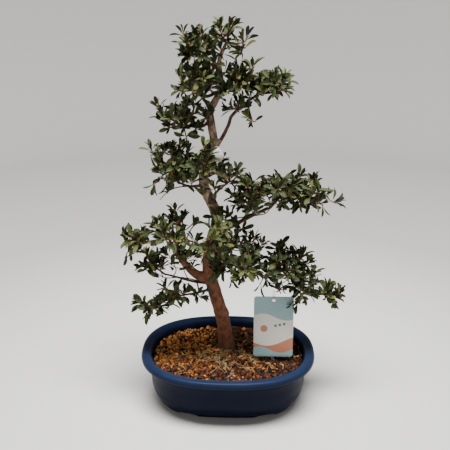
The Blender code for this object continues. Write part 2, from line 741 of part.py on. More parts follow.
def stand_on_origin(root, parts):
    bpy.context.view_layer.update()
    corners = [
        piece.matrix_world @ Vector(corner)
        for piece in parts.objects
        if piece.type != "EMPTY"
        for corner in piece.bound_box
    ]
    for axis in (0, 1):
        values = [corner[axis] for corner in corners]
        root.location[axis] = -(min(values) + max(values)) / 2


def main():
    for item in list(bpy.data.objects):
        bpy.data.objects.remove(item)
    parts = collection_named(NAME)
    cutters = collection_named(NAME + "_cutters", hidden=True)
    add_three_sided_profile(cutters)
    build_stake(parts, cutters)
    build_card(parts)
    build_pot(parts, cutters)
    build_soil(parts, cutters)
    limbs = build_limbs(parts, cutters)
    limbs["wound_seal"] = build_seal(parts)
    build_foliage(parts, limbs)
    root = add_object(NAME, None, parts)
    for piece in list(parts.objects) + list(cutters.objects):
        if piece is not root:
            piece.parent = root
    for piece in parts.objects:
        if piece.type == "MESH" and not piece.name.startswith("foliage"):
            piece.data.shade_smooth()
            piece.data.set_sharp_from_angle(angle=SHARP)
    stand_on_origin(root, parts)


main()
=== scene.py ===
import math

import bmesh
import bpy
import numpy as np
from mathutils import Euler, Matrix, Vector, noise
from mathutils.kdtree import KDTree
from numpy.linalg import norm


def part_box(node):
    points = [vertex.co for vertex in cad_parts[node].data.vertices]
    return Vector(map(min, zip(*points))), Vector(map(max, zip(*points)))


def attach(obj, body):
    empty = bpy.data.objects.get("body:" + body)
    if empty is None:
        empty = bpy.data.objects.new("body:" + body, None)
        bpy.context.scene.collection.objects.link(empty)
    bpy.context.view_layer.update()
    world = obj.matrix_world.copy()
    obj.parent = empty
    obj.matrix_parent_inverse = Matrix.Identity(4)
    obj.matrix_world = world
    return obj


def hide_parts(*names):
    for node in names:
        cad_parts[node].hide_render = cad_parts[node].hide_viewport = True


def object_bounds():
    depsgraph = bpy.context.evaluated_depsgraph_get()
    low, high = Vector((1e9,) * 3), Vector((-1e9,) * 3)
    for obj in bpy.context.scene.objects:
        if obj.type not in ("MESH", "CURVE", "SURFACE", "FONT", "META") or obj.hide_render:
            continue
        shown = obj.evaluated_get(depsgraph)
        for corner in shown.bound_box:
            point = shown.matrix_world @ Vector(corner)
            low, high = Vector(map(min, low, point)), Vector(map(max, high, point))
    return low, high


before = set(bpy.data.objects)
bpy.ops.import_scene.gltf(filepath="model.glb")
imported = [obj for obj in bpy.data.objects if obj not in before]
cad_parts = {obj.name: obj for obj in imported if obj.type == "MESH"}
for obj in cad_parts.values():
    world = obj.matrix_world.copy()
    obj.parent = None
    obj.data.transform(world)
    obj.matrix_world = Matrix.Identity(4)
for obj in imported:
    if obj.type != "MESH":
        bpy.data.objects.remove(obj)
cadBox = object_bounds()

# Places and sizes are in millimetres, with their zero on the table top under the middle of the pot.
mm = 0.001
potLow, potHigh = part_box("pot")
potMiddle = np.array([(potLow.x + potHigh.x) / 2, (potLow.y + potHigh.y) / 2, 0.0])
goldenTurn = math.pi * (3 - math.sqrt(5))
anyTurn = (0, 6.283)


def inMetres(points):
    return np.asarray(points, float) * mm + potMiddle


def unit(vector):
    return vector / max(norm(vector), 1e-9)


def ramp(value, start, width):
    return np.clip((value - start) / width, 0, 1)


def scaled(colour, share):
    return [share * level for level in colour]


def stepsOf(course):
    return norm(np.diff(course, axis=0), axis=1)


def meshFrom(bm, name):
    mesh = bpy.data.meshes.new(name)
    bm.to_mesh(mesh)
    bm.free()
    return mesh


def bakedMesh(piece):
    # The piece's mesh with its modifiers applied; the piece itself is dropped.
    graph = bpy.context.evaluated_depsgraph_get()
    mesh = bpy.data.meshes.new_from_object(piece.evaluated_get(graph))
    bpy.data.objects.remove(piece)
    return mesh


def looseObject(name, data):
    piece = bpy.data.objects.new(name, data)
    bpy.context.scene.collection.objects.link(piece)
    return piece


def pieceFrom(bm, name):
    return looseObject(name, meshFrom(bm, name))


def addPiece(name, mesh, materials, replaced=(), sharpAngle=None):
    piece = looseObject(name, mesh)
    mesh.name = name
    for material in materials:
        mesh.materials.append(material)
    mesh.shade_smooth()
    if sharpAngle is not None:
        mesh.set_sharp_from_angle(angle=math.radians(sharpAngle))
    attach(piece, "root")
    if replaced:
        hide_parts(*replaced)
    print(f"{name}: {len(mesh.polygons)} faces")


def cutWith(piece, operation, cutters):
    for cutter in cutters:
        modifier = piece.modifiers.new(operation, "BOOLEAN")
        modifier.operation, modifier.solver, modifier.object = operation, "EXACT", cutter
    mesh = bakedMesh(piece)
    for cutter in cutters:
        bpy.data.objects.remove(cutter)
    return mesh


def rounded(bm, edges, offset, segments, clamped=False):
    bmesh.ops.bevel(
        bm, geom=edges, offset=offset, segments=segments, profile=0.5, affect="EDGES", material=-1,
        clamp_overlap=clamped,
    )


def block(name, size, centre, bevel=0.0):
    bm = bmesh.new()
    bmesh.ops.create_cube(bm, size=1.0)
    bmesh.ops.scale(bm, verts=bm.verts, vec=size)
    if bevel:
        rounded(bm, bm.edges[:], bevel, 3)
    bmesh.ops.translate(bm, verts=bm.verts, vec=centre)
    return pieceFrom(bm, name)


def copiesOf(name, masters, places, kinds, slots):
    # One mesh of many copies: places are 4x4 matrices, kinds pick the master, slots the material.
    points, faces, corners, faceSlots = [], [], [], []
    used = 0
    for kind, master in enumerate(masters):
        picked = np.flatnonzero(kinds == kind)
        if not len(picked):
            continue
        count = len(master.vertices)
        shape = np.ones((count, 4))
        shape[:, :3] = [vertex.co for vertex in master.vertices]
        points.append((shape @ places[picked].transpose(0, 2, 1))[:, :, :3].reshape(-1, 3))
        shifts = used + count * np.arange(len(picked))
        outlines = [list(face.vertices) for face in master.polygons]
        for shift, slot in zip(shifts.tolist(), slots[picked].tolist()):
            faces += [[shift + corner for corner in outline] for outline in outlines]
            faceSlots += [slot] * len(outlines)
        if master.uv_layers:
            flat = np.array([item.uv for item in master.uv_layers[0].data])
            corners.append(np.tile(flat, (len(picked), 1)))
        used += count * len(picked)
    mesh = bpy.data.meshes.new(name)
    mesh.from_pydata(np.concatenate(points), [], faces)
    mesh.polygons.foreach_set("material_index", faceSlots)
    if corners:
        mesh.uv_layers.new(name="UVMap").data.foreach_set("uv", np.concatenate(corners).ravel())
    return mesh


def placing(across, along, upward, scale, place):
    # A copy's matrix: its x, y and z axes, its size along each, and where it goes.
    matrix = np.eye(4)
    matrix[:3, 0], matrix[:3, 1], matrix[:3, 2] = across * scale[0], along * scale[1], upward * scale[2]
    matrix[:3, 3] = place
    return matrix


def smoothCourse(bends, perSpan):
    # Catmull-Rom curve through the bends.
    bends = np.array(bends, float)
    padded = np.vstack([2 * bends[0] - bends[1], bends, 2 * bends[-1] - bends[-2]])
    course = []
    for a, b, c, d in zip(padded, padded[1:], padded[2:], padded[3:]):
        for t in np.arange(perSpan) / perSpan:
            bend = (2 * a - 5 * b + 4 * c - d) * t**2 + (3 * b - a - 3 * c + d) * t**3
            course.append(b + 0.5 * ((c - a) * t + bend))
    return np.array(course + [bends[-1]])


def limbMesh(name, courses, resolution):
    # Round limbs along courses in table millimetres, each closed at both ends.
    curve = bpy.data.curves.new(name, "CURVE")
    curve.dimensions = "3D"
    curve.use_fill_caps = True
    curve.bevel_depth = 1.0
    curve.bevel_resolution = resolution
    for course, radii in courses:
        spline = curve.splines.new("POLY")
        spline.points.add(len(course) - 1)
        places = np.column_stack([inMetres(course), np.ones(len(course))])
        spline.points.foreach_set("co", places.ravel())
        spline.points.foreach_set("radius", np.asarray(radii, float) * mm)
    return bakedMesh(looseObject(name, curve))


def addNode(tree, kind, inputs=None, **settings):
    # Each input is linked when it is a socket, and set when it is a value.
    made = tree.nodes.new(f"ShaderNode{kind}")
    for key, value in settings.items():
        setattr(made, key, value)
    for socket, source in (inputs or {}).items():
        if isinstance(source, bpy.types.NodeSocket):
            tree.links.new(source, made.inputs[socket])
        else:
            made.inputs[socket].default_value = source
    return made


def mixed(tree, share, first, second):
    pair = [tone if isinstance(tone, bpy.types.NodeSocket) else (*tone, 1) for tone in (first, second)]
    return addNode(tree, "Mix", {0: share, 6: pair[0], 7: pair[1]}, data_type="RGBA").outputs[2]


def spread(tree, value, low, high, toLow=0.0, toHigh=1.0):
    sockets = {"Value": value, "From Min": low, "From Max": high, "To Min": toLow, "To Max": toHigh}
    return addNode(tree, "MapRange", sockets).outputs[0]


def sums(tree, operation, first, second=0.0):
    return addNode(tree, "Math", {0: first, 1: second}, operation=operation).outputs[0]


def plus(tree, first, second):
    return sums(tree, "ADD", first, second)


def minus(tree, first, second):
    return sums(tree, "SUBTRACT", first, second)


def times(tree, first, second):
    return sums(tree, "MULTIPLY", first, second)


def lengthOf(tree, vector):
    return addNode(tree, "VectorMath", {0: vector}, operation="LENGTH").outputs["Value"]


def axesOf(tree, vector):
    return addNode(tree, "SeparateXYZ", {0: vector}).outputs


def newGroup(name, inputs, outputs):
    group = bpy.data.node_groups.new(name, "ShaderNodeTree")
    for socket, value in inputs.items():
        kind = "NodeSocketVector" if value is None else "NodeSocketFloat"
        made = group.interface.new_socket(name=socket, in_out="INPUT", socket_type=kind)
        if value is not None:
            made.default_value = value
    for socket in outputs:
        group.interface.new_socket(name=socket, in_out="OUTPUT", socket_type="NodeSocketFloat")
    return group, group.nodes.new("NodeGroupInput").outputs


def closed(group, *results):
    out = group.nodes.new("NodeGroupOutput").inputs
    for number, result in enumerate(results):
        group.links.new(result, out[number])
    return group


def makeMottle():
    # Soft patches: a mask from 0 to 1.
    inputs = {"Vector": None, "Scale": 60.0, "Detail": 4.0, "Contrast": 1.0}
    group, given = newGroup("mottle", inputs, ["Mask"])
    cloud = addNode(group, "TexNoise", {"Vector": given[0], "Scale": given[1], "Detail": given[2]})
    centred = times(group, minus(group, cloud.outputs[0], 0.5), given[3])
    level = addNode(group, "Math", {0: centred, 1: 0.5}, operation="ADD", use_clamp=True)
    return closed(group, level.outputs[0])


def makeGrit():
    # Small pits and grains for bump, and the same as a mask.
    group, given = newGroup("grit", {"Vector": None, "Scale": 900.0}, ["Height", "Pits"])
    cells = addNode(group, "TexVoronoi", {"Vector": given[0], "Scale": given[1]}).outputs["Distance"]
    cloud = addNode(group, "TexNoise", {"Vector": given[0], "Scale": given[1], "Detail": 3.0})
    return closed(group, plus(group, cells, cloud.outputs[0]), spread(group, cells, 0.35, 0.75))


def makeBarkGrain():
    # Streaks that run along a limb, thin flaking plates, and cracks between them.
    group, given = newGroup("barkGrain", {"Vector": None, "Scale": 300.0}, ["Streaks", "Plates", "Height"])
    inputs = {"Vector": given[0], "Scale": given[1]}
    cloud = {**inputs, "Detail": 6.0, "Distortion": 0.6}
    streaks = addNode(group, "TexNoise", cloud).outputs[0]
    plates = addNode(group, "TexVoronoi", inputs, feature="DISTANCE_TO_EDGE").outputs["Distance"]
    crack = spread(group, plates, 0.0, 0.14)
    height = plus(group, streaks, times(group, crack, 0.35))
    return closed(group, spread(group, streaks, 0.36, 0.66), crack, height)


def makeLeafVeins():
    # From a leaf's own UV: the midrib, the stalk end, the margin, and a height for bump.
    group, given = newGroup("leafVeins", {"Vector": None}, ["Rib", "Stalk", "Margin", "Height"])
    split = axesOf(group, given[0])
    off = sums(group, "ABSOLUTE", minus(group, split[0], 0.5))
    rib = spread(group, off, 0.015, 0.07, 1.0, 0.0)
    slanted = plus(group, times(group, split[1], 52.0), times(group, off, -34.0))
    height = minus(group, times(group, sums(group, "SINE", slanted), 0.18), rib)
    stalk, margin = spread(group, split[1], 0.06, 0.3, 1.0, 0.0), spread(group, off, 0.4, 0.5)
    return closed(group, rib, stalk, margin, height)


effects = {
    "mottle": makeMottle(), "grit": makeGrit(), "barkGrain": makeBarkGrain(), "leafVeins": makeLeafVeins(),
}


def effect(tree, name, **inputs):
    return addNode(tree, "Group", inputs, node_tree=effects[name]).outputs


def mottled(tree, place, scale, detail, contrast):
    return effect(tree, "mottle", Vector=place, Scale=scale, Detail=detail, Contrast=contrast)[0]


def newFinish(name, **fixed):
    # A material with its fixed sockets set; gives its tree, its shader and the Object coordinates.
    material = bpy.data.materials.new(name)
    material.use_nodes = True
    tree = material.node_tree
    shader = tree.nodes["Principled BSDF"]
    for socket, value in fixed.items():
        shader.inputs[socket.replace("_", " ")].default_value = value
    return material, tree, shader, addNode(tree, "TexCoord").outputs["Object"]


def join(tree, shader, colour, roughness=None, height=None, strength=0.3, distance=0.0005):
    tree.links.new(colour, shader.inputs["Base Color"])
    if roughness is not None:
        tree.links.new(roughness, shader.inputs["Roughness"])
    if height is not None:
        bump = addNode(tree, "Bump", {"Strength": strength, "Distance": distance, "Height": height})
        tree.links.new(bump.outputs[0], shader.inputs["Normal"])


def patchyFinish(name, tones, look, pits=None, paintedShade=None, **fixed):
    # Two tones in soft patches over fine grains; pits darken it, and painted shade lies below a height.
    material, tree, shader, place = newFinish(name, **fixed)
    patch = mottled(tree, place, *look["patches"])
    grains = effect(tree, "grit", Vector=place, Scale=look["grains"])
    share = patch if pits is None else times(tree, patch, spread(tree, grains[1], 0, 1, 1.0, pits))
    colour = mixed(tree, share, *tones)
    # Painted shade: below the given height the colour turns towards a grey.
    if paintedShade:
        paintedShadeShare = spread(tree, axesOf(tree, place)[2], *paintedShade["heights"], paintedShade["share"], 0.0)
        colour = mixed(tree, paintedShadeShare, colour, paintedShade["colour"])
    join(tree, shader, colour, spread(tree, patch, 0, 1, *look["rough"]), grains[0], *look["bump"])
    return material


# Camera, light and table. Colours are linear.
studio = dict(
    cameraPlace=(18.6, -759.1, 542.3), pitch=20.617, azimuth=1.718, focal=620, frameSide=450, sensor=36,
    # The table's colours paint shade: pale near the pot, darker further out and lighter again up the wall.
    floorColour=(0.54, 0.537, 0.525), backColour=(0.353, 0.351, 0.342), wallColour=(0.43, 0.428, 0.418),
    floorReach=(0.2, 0.68), wallReach=(0.6, 1.5), patches=(2.0, 2.0, 0.5), patchShare=0.12, roughness=0.85,
    radius=1.9, wall=1.7, bend=0.5, bendSteps=12, sides=96,
    worldColour=(0.97, 0.97, 1.0), worldStrength=0.004,
    lightPlace=(0.0, -0.23, 1.8), lightAim=(0, 0, 0.2), lightSize=(1.4, 0.52), lightPower=118.0,
    lightColour=(1.0, 0.99, 0.97),
)


def makeCamera(scene):
    camera = bpy.data.cameras.new("camera")
    camera.sensor_width = studio["sensor"]
    camera.lens = studio["focal"] / studio["frameSide"] * studio["sensor"]
    holder = looseObject("camera", camera)
    holder.location = Vector(inMetres(studio["cameraPlace"]))
    holder.rotation_euler = Euler((math.radians(90 - studio["pitch"]), 0, math.radians(studio["azimuth"])))
    scene.camera = holder


def makeLight(scene):
    world = bpy.data.worlds.new("studioAir")
    world.use_nodes = True
    air = world.node_tree.nodes["Background"]
    air.inputs[0].default_value = (*studio["worldColour"], 1)
    air.inputs[1].default_value = studio["worldStrength"]
    scene.world = world
    light = bpy.data.lights.new("ceilingLight", "AREA")
    light.shape, light.energy, light.color = "ELLIPSE", studio["lightPower"], studio["lightColour"]
    light.size, light.size_y = studio["lightSize"]
    lamp = looseObject("ceilingLight", light)
    lamp.location = studio["lightPlace"]
    aim = Vector(studio["lightAim"]) - Vector(studio["lightPlace"])
    lamp.rotation_euler = aim.to_track_quat("-Z", "Y").to_euler()


def makeTable():
    # The table and its backdrop are one round sweep: a bent line, turned about the middle.
    radius, bend, steps = studio["radius"], studio["bend"], studio["bendSteps"]
    bm = bmesh.new()
    line = [bm.verts.new((0, 0, 0)), bm.verts.new((radius - bend, 0, 0))]
    for k in range(1, steps + 1):
        angle = math.pi / 2 * k / steps
        line.append(bm.verts.new((radius - bend + bend * math.sin(angle), 0, bend * (1 - math.cos(angle)))))
    line.append(bm.verts.new((radius, 0, studio["wall"])))
    edges = [bm.edges.new(pair) for pair in zip(line, line[1:])]
    bmesh.ops.spin(
        bm, geom=line + edges, cent=(0, 0, 0), axis=(0, 0, 1), angle=2 * math.pi, steps=studio["sides"],
        use_merge=True, use_duplicate=False,
    )
    bmesh.ops.remove_doubles(bm, verts=bm.verts, dist=1e-5)
    bmesh.ops.recalc_face_normals(bm, faces=bm.faces)
    bmesh.ops.reverse_faces(bm, faces=bm.faces)
    sweep = pieceFrom(bm, "tableSweep")
    sweep.data.shade_smooth()
    material, tree, shader, place = newFinish("tableSheet", Roughness=studio["roughness"])
    # Painted shade: the pale floor turns darker away from the middle, and lighter again up the wall.
    away = lengthOf(tree, place)
    behind = mixed(tree, spread(tree, away, *studio["wallReach"]), studio["backColour"], studio["wallColour"])
    patch = spread(tree, mottled(tree, place, *studio["patches"]), 0, 1, 0, studio["patchShare"])
    pale = mixed(tree, patch, studio["floorColour"], studio["backColour"])
    join(tree, shader, mixed(tree, spread(tree, away, *studio["floorReach"]), pale, behind))
    sweep.data.materials.append(material)


makeCamera(bpy.context.scene)
makeLight(bpy.context.scene)
makeTable()
print("studio ready")


# The glazed oval pot.
pot = dict(
    half=(121.1, 91.7), fullness=2.4, baseFullness=3.0, baseSpan=(9, 26), sides=144, perSpan=4,
    profile=[
        (29.4, 0), (28.6, 0.9), (27.8, 3.2), (25.3, 6.6), (21.8, 11.2), (17, 18), (13.8, 25), (12.6, 35),
        (11.8, 46), (10.3, 56), (9.4, 61.4), (7.4, 62.8), (3.4, 63.3), (0.7, 64.9), (0, 67.5), (0.5, 70.8),
        (2.4, 72.8), (5.5, 73.4), (9.5, 72.7), (12.4, 71.2), (14.1, 68.7), (15.2, 64.5), (15.9, 59.5),
        (18.5, 30), (23, 13.5), (27, 9.7), (31, 9),
    ],
    recessInset=40, recessTop=5.5, recessBottom=-3, drainRadius=7, drainPlace=42, drainDepth=14,
    archPlace=53, archRadius=27.4, archHeight=4.8, cutterSides=120, footBevel=0.6, footAngle=0.7,
    sharpAngle=42, clayDown=-0.85, glaze=(0.0019, 0.0032, 0.011), glazeThin=(0.0098, 0.0175, 0.044),
    glazePatches=(24.0, 5.0, 1.5), patchTone=1.7, lip=(0.061, 0.07), thinShare=(0.55, 0.95),
    gloss=(0.28, 0.4), specks=700.0, speckShare=0.05,
    ripples=(90.0, 2.0, 1.0), rippleBump=(0.18, 0.0007), clay=(0.2, 0.11, 0.065), clayDark=0.6,
    clayLook=dict(patches=(120.0, 6.0, 1.6), grains=1100.0, rough=(0.8, 0.95), bump=(0.4, 0.0003)),
)


def ovalPlace(turn, inset, height):
    # The plan is squarer at the pot's base than at its rim.
    power = np.interp(height, pot["baseSpan"], (pot["baseFullness"], pot["fullness"]))
    return [
        (half - inset) * math.copysign(abs(side) ** (2 / power), side)
        for half, side in zip(pot["half"], (math.cos(turn), math.sin(turn)))
    ]


def ovalWall(name, stations, sides):
    # A closed oval body: a ring of edges is extruded from station to station, then both ends are filled.
    bm = bmesh.new()
    turn = bm.verts.layers.float.new("turn")
    ring = bmesh.ops.create_circle(bm, cap_ends=False, segments=sides, radius=1.0)["verts"]
    for vertex in ring:
        vertex[turn] = math.atan2(vertex.co.y, vertex.co.x)
    edges = bm.edges[:]
    ends = [edges]
    for number, (inset, height) in enumerate(stations):
        if number:
            grown = bmesh.ops.extrude_edge_only(bm, edges=edges)["geom"]
            ring = [item for item in grown if isinstance(item, bmesh.types.BMVert)]
            edges = [item for item in grown if isinstance(item, bmesh.types.BMEdge)]
            edges = [edge for edge in edges if all(vertex in set(ring) for vertex in edge.verts)]
        for vertex in ring:
            vertex.co = Vector(inMetres((*ovalPlace(vertex[turn], inset, height), height)))
    ends.append(edges)
    for end in ends:
        bmesh.ops.contextual_create(bm, geom=end)
    bmesh.ops.recalc_face_normals(bm, faces=bm.faces)
    return meshFrom(bm, name)


def roundCutter(name, radius, depth, centre, turned=False):
    bm = bmesh.new()
    bmesh.ops.create_cone(
        bm, cap_ends=True, segments=pot["cutterSides"], radius1=radius * mm, radius2=radius * mm,
        depth=depth * mm,
    )
    if turned:
        quarter = Euler((math.pi / 2, 0, 0)).to_matrix()
        bmesh.ops.rotate(bm, verts=bm.verts, cent=(0, 0, 0), matrix=quarter)
    bmesh.ops.translate(bm, verts=bm.verts, vec=Vector(inMetres(centre)))
    return pieceFrom(bm, name)


def footCutters():
    # A recess under the floor, low arches right through its wall that leave four long feet, and two drains.
    inset, top = pot["recessInset"], pot["recessTop"]
    hollow = ovalWall("recess", [(inset, pot["recessBottom"]), (inset, top)], pot["sides"])
    cutters = [looseObject("recess", hollow)]
    for side in (-1, 1):
        arch = (side * pot["archPlace"], 0, pot["archHeight"] - pot["archRadius"])
        cutters.append(roundCutter("arch", pot["archRadius"], 2.2 * pot["half"][1], arch, turned=True))
        drain = (side * pot["drainPlace"], 0, top)
        cutters.append(roundCutter("drain", pot["drainRadius"], pot["drainDepth"], drain))
    return cutters


def easedFoot(mesh):
    # The foot's cut edges are rounded a little, as fired clay is.
    bm = bmesh.new()
    bm.from_mesh(mesh)
    top = pot["recessTop"] * mm * 1.1
    sharp = [
        edge for edge in bm.edges
        if edge.calc_face_angle(0) > pot["footAngle"] and max(vertex.co.z for vertex in edge.verts) < top
    ]
    rounded(bm, sharp, pot["footBevel"] * mm, 2, clamped=True)
    bm.to_mesh(mesh)
    bm.free()


def glazeFinish():
    material, tree, shader, place = newFinish("navyGlaze", IOR=1.45, Specular_IOR_Level=0.06)
    patch = mottled(tree, place, *pot["glazePatches"])
    specks = effect(tree, "grit", Vector=place, Scale=pot["specks"])[1]
    # The glaze runs thin, and so bluer, over the lip.
    lip = spread(tree, axesOf(tree, place)[2], *pot["lip"])
    thin = times(tree, lip, spread(tree, patch, 0, 1, *pot["thinShare"]))
    deep = mixed(tree, patch, pot["glaze"], scaled(pot["glaze"], pot["patchTone"]))
    rough = plus(tree, spread(tree, patch, 0, 1, *pot["gloss"]), times(tree, specks, pot["speckShare"]))
    ripple = mottled(tree, place, *pot["ripples"])
    join(tree, shader, mixed(tree, thin, deep, pot["glazeThin"]), rough, ripple, *pot["rippleBump"])
    return material


def makePot():
    stations = smoothCourse(pot["profile"], pot["perSpan"])
    body = looseObject("potBody", ovalWall("potBody", stations, pot["sides"]))
    mesh = cutWith(body, "DIFFERENCE", footCutters())
    easedFoot(mesh)
    clayTones = (scaled(pot["clay"], pot["clayDark"]), pot["clay"])
    finishes = [glazeFinish(), patchyFinish("bareClay", clayTones, pot["clayLook"])]
    addPiece("ovalPot", mesh, finishes, ["pot"], pot["sharpAngle"])
    # Only what faces down is left unglazed.
    top = (pot["recessTop"] + 0.2) * mm
    for face in mesh.polygons:
        face.material_index = int(face.center.z < top and face.normal.z < pot["clayDown"])
    print("pot ready")


makePot()


# The soil and what lies on it.
soil = dict(
    heights=[(0.2, 66.5), (0.45, 65.1), (0.88, 63.7), (1.0, 61.6)], edgeInset=16.2, seed=11,
    roll=1.2, rollPeriods=(38, 34), rollFade=(0.075, 0.2, 0.18),
    bedFloor=(24, 14), bedSide=(17.4, 40), bedDrop=2.6, bedRings=22, bedMiddle=0.06, bedSides=72,
    spacing=2.4, jitter=1.2, size=(1.0, 2.25), lift=(-0.5, 0.4), flat=(0.45, 0.85), tilt=0.5,
    chips=760, chipSize=(1.8, 3.1), chipLift=(0.3, 0.45), grainInset=1.6, chipInset=3,
    # Lumps: how many kinds, how finely cut, and how jagged; then their size along and across.
    grainLumps=(6, 1, 0.85), pebbleLumps=(4, 2, 0.45), jagSize=1.7, long=(0.8, 1.25), wide=(0.7, 1.05),
    grainAngle=35, pebbleAngle=60,
    tones={
        "soilOrange": ((0.075, 0.017, 0.003), (0.16, 0.042, 0.006)),
        "soilRust": ((0.026, 0.006, 0.002), (0.06, 0.013, 0.003)),
        "soilAmber": ((0.17, 0.055, 0.008), (0.33, 0.125, 0.02)),
        "soilTan": ((0.15, 0.08, 0.03), (0.36, 0.22, 0.09)),
        "soilDark": ((0.005, 0.003, 0.002), (0.012, 0.007, 0.004)),
        "soilMauve": ((0.03, 0.019, 0.016), (0.06, 0.036, 0.03)),
        "lichenPale": ((0.19, 0.14, 0.065), (0.36, 0.28, 0.14)),
        "pebbleGrey": ((0.06, 0.054, 0.048), (0.12, 0.105, 0.09)),
        # Bright gold crumbs, painted light in the back left corner.
        "soilPaintedLight": ((0.5, 0.2, 0.05), (0.78, 0.34, 0.1)),
    },
    # Shares of those tones: everywhere, then what front, left, right (painted shade), back left (painted
    # light), foot and card (painted shade), litter and clumps add.
    mix=[
        (0.4, 0.24, 0.16, 0.05, 0.09, 0.05, 0.01, 0, 0), (0.25, 0.45, -0.15, -0.05, 0.45, 0.04, -0.01, 0, 0),
        (0.08, -0.2, 0.3, 0.08, -0.1, -0.04, 0.01, 0, 0), (-0.15, 0.22, -0.13, 0, 0.35, 0.14, 0, 0.01, 0),
        (0.1, 0, 0, 0.1, 0.1, 0, 0, 0, 1.1), (-0.16, 0.08, -0.08, -0.03, 0.3, 0.12, 0, 0, -0.2),
        (-0.04, -0.1, 0.1, 0.14, 0.06, 0.04, 0.05, 0, 0), (0.05, -0.35, 0.33, 0.18, -0.5, -0.1, 0.03, 0, 0.1),
    ],
    # Where they lie: a side's start and width, a spot's place and squared reach, and a clump's size.
    front=(30, 30), left=(10, 45), right=(40, 35), cornerLeft=(-4, 34), cornerBack=(-20, 30),
    shadedSpots=[((-3, 14), 420), ((60, -2), 620)], litter=((-2, -26), (42, 20)), clump=7.5,
    look=dict(patches=(380.0, 5.0, 2.2), grains=2200.0, rough=(0.95, 0.72), bump=(0.6, 0.0003)), pits=0.7,
    pebbles=70, behindTrunk=((22, 52), (26, 9), 0.4), pebbleInset=5, pebbleSize=(2.2, 4.4), pebbleLift=0.2,
    pebbleFlat=(0.55, 0.8), pebbleTilt=0.25, pebbleTones=([1, 4, 5, 7], [0.22, 0.2, 0.26, 0.32]),
    threads=90, threadPlace=((0, -20), (30, 17)), threadInset=8, threadStep=(3, 8), threadBends=4,
    threadCurl=0.5, threadLift=1.2, threadRise=1.1, threadRadii=([0, 0.5, 1], [0.2, 0.42, 0.12]),
)


def ovalShare(x, y, inset):
    # 0 in the middle of the pot and 1 on the oval at that inset.
    power = pot["fullness"]
    sides = [np.abs(side / (half - inset)) ** power for side, half in zip((x, y), pot["half"])]
    return sum(sides) ** (1 / power)


def inside(spots, inset):
    return spots[ovalShare(*spots.T, soil["edgeInset"] + inset) < 1]


def soilHeight(x, y):
    # Low swells and hollows, which die out at the wall and under the trunk.
    share = ovalShare(x, y, soil["edgeInset"])
    outer, start, inner = soil["rollFade"]
    fade = np.clip(np.minimum((1 - share) / outer, (share - start) / inner), 0, 1)
    along, across = (2 * math.pi * place / period for place, period in zip((x, y), soil["rollPeriods"]))
    roll = soil["roll"] * fade * np.sin(along + np.sin(across)) * np.cos(across)
    return np.interp(share, *zip(*soil["heights"])) + roll


def lumpMasters(count, subdivisions, jag, seed):
    # Broken lumps: small round shapes with every corner pushed in or out.
    masters = []
    for k in range(count):
        bm = bmesh.new()
        bmesh.ops.create_icosphere(bm, subdivisions=subdivisions, radius=1.0)
        for vertex in bm.verts:
            place = vertex.co * soil["jagSize"] + Vector((seed + 9.3 * k, 4.1 * k, seed))
            vertex.co *= 1 + jag * noise.noise(place)
        bmesh.ops.recalc_face_normals(bm, faces=bm.faces)
        masters.append(meshFrom(bm, "lump"))
    return masters


def lumpPlaces(rng, spots, lifts, sizes, flat, tilt):
    places = []
    for point, size in zip(np.column_stack([spots, soilHeight(*spots.T) + lifts]), sizes):
        turned = Euler((rng.normal(0, tilt), rng.normal(0, tilt), rng.uniform(*anyTurn))).to_matrix()
        scale = size * mm * np.array([rng.uniform(*reach) for reach in (soil["long"], soil["wide"], flat)])
        places.append(placing(*np.array(turned).T, scale, inMetres(point)))
    return np.array(places)


def layLumps(name, masters, rng, places, tones, finishes, sharpAngle):
    kinds = rng.integers(0, len(masters), len(places))
    addPiece(name, copiesOf(name, masters, places, kinds, tones), finishes, sharpAngle=sharpAngle)


def soilTone(rng, x, y):
    # Pale crumbs lie to the left. The darker ones to the right, under the card and round the trunk are
    # painted shade, and the bright gold ones in the back left corner are painted light.
    corner = ramp(-x, *soil["cornerLeft"]) * ramp(y, *soil["cornerBack"])
    shaded = sum(
        math.exp(-((x - at) ** 2 + (y - by) ** 2) / reach) for (at, by), reach in soil["shadedSpots"]
    )
    (at, by), (long, deep) = soil["litter"]
    litter = math.exp(-((x - at) / long) ** 2 - ((y - by) / deep) ** 2)
    sides = [ramp(-y, *soil["front"]), ramp(-x, *soil["left"]), ramp(x, *soil["right"]), corner]
    clump = noise.noise(Vector((x, y, 20)) / soil["clump"])
    parts = zip((1, *sides, shaded, litter, clump), soil["mix"])
    weights = np.clip(sum(share * np.array(row) for share, row in parts), 0, None)
    return rng.choice(len(soil["tones"]), p=weights / weights.sum())


def makeSoilBed(finish):
    stations = [soil["bedFloor"], soil["bedSide"]]
    edge = soil["edgeInset"]
    for share in np.linspace(1, soil["bedMiddle"], soil["bedRings"]):
        # An inset that keeps the oval's own proportions is close enough over such a short way.
        inset = edge + (1 - share) * (min(pot["half"]) - edge)
        height = soilHeight(np.array([pot["half"][0] - inset]), np.array([0.0]))[0] - soil["bedDrop"]
        stations.append((inset, height))
    addPiece("soilBed", ovalWall("soilBed", stations, soil["bedSides"]), [finish], ["soil"])


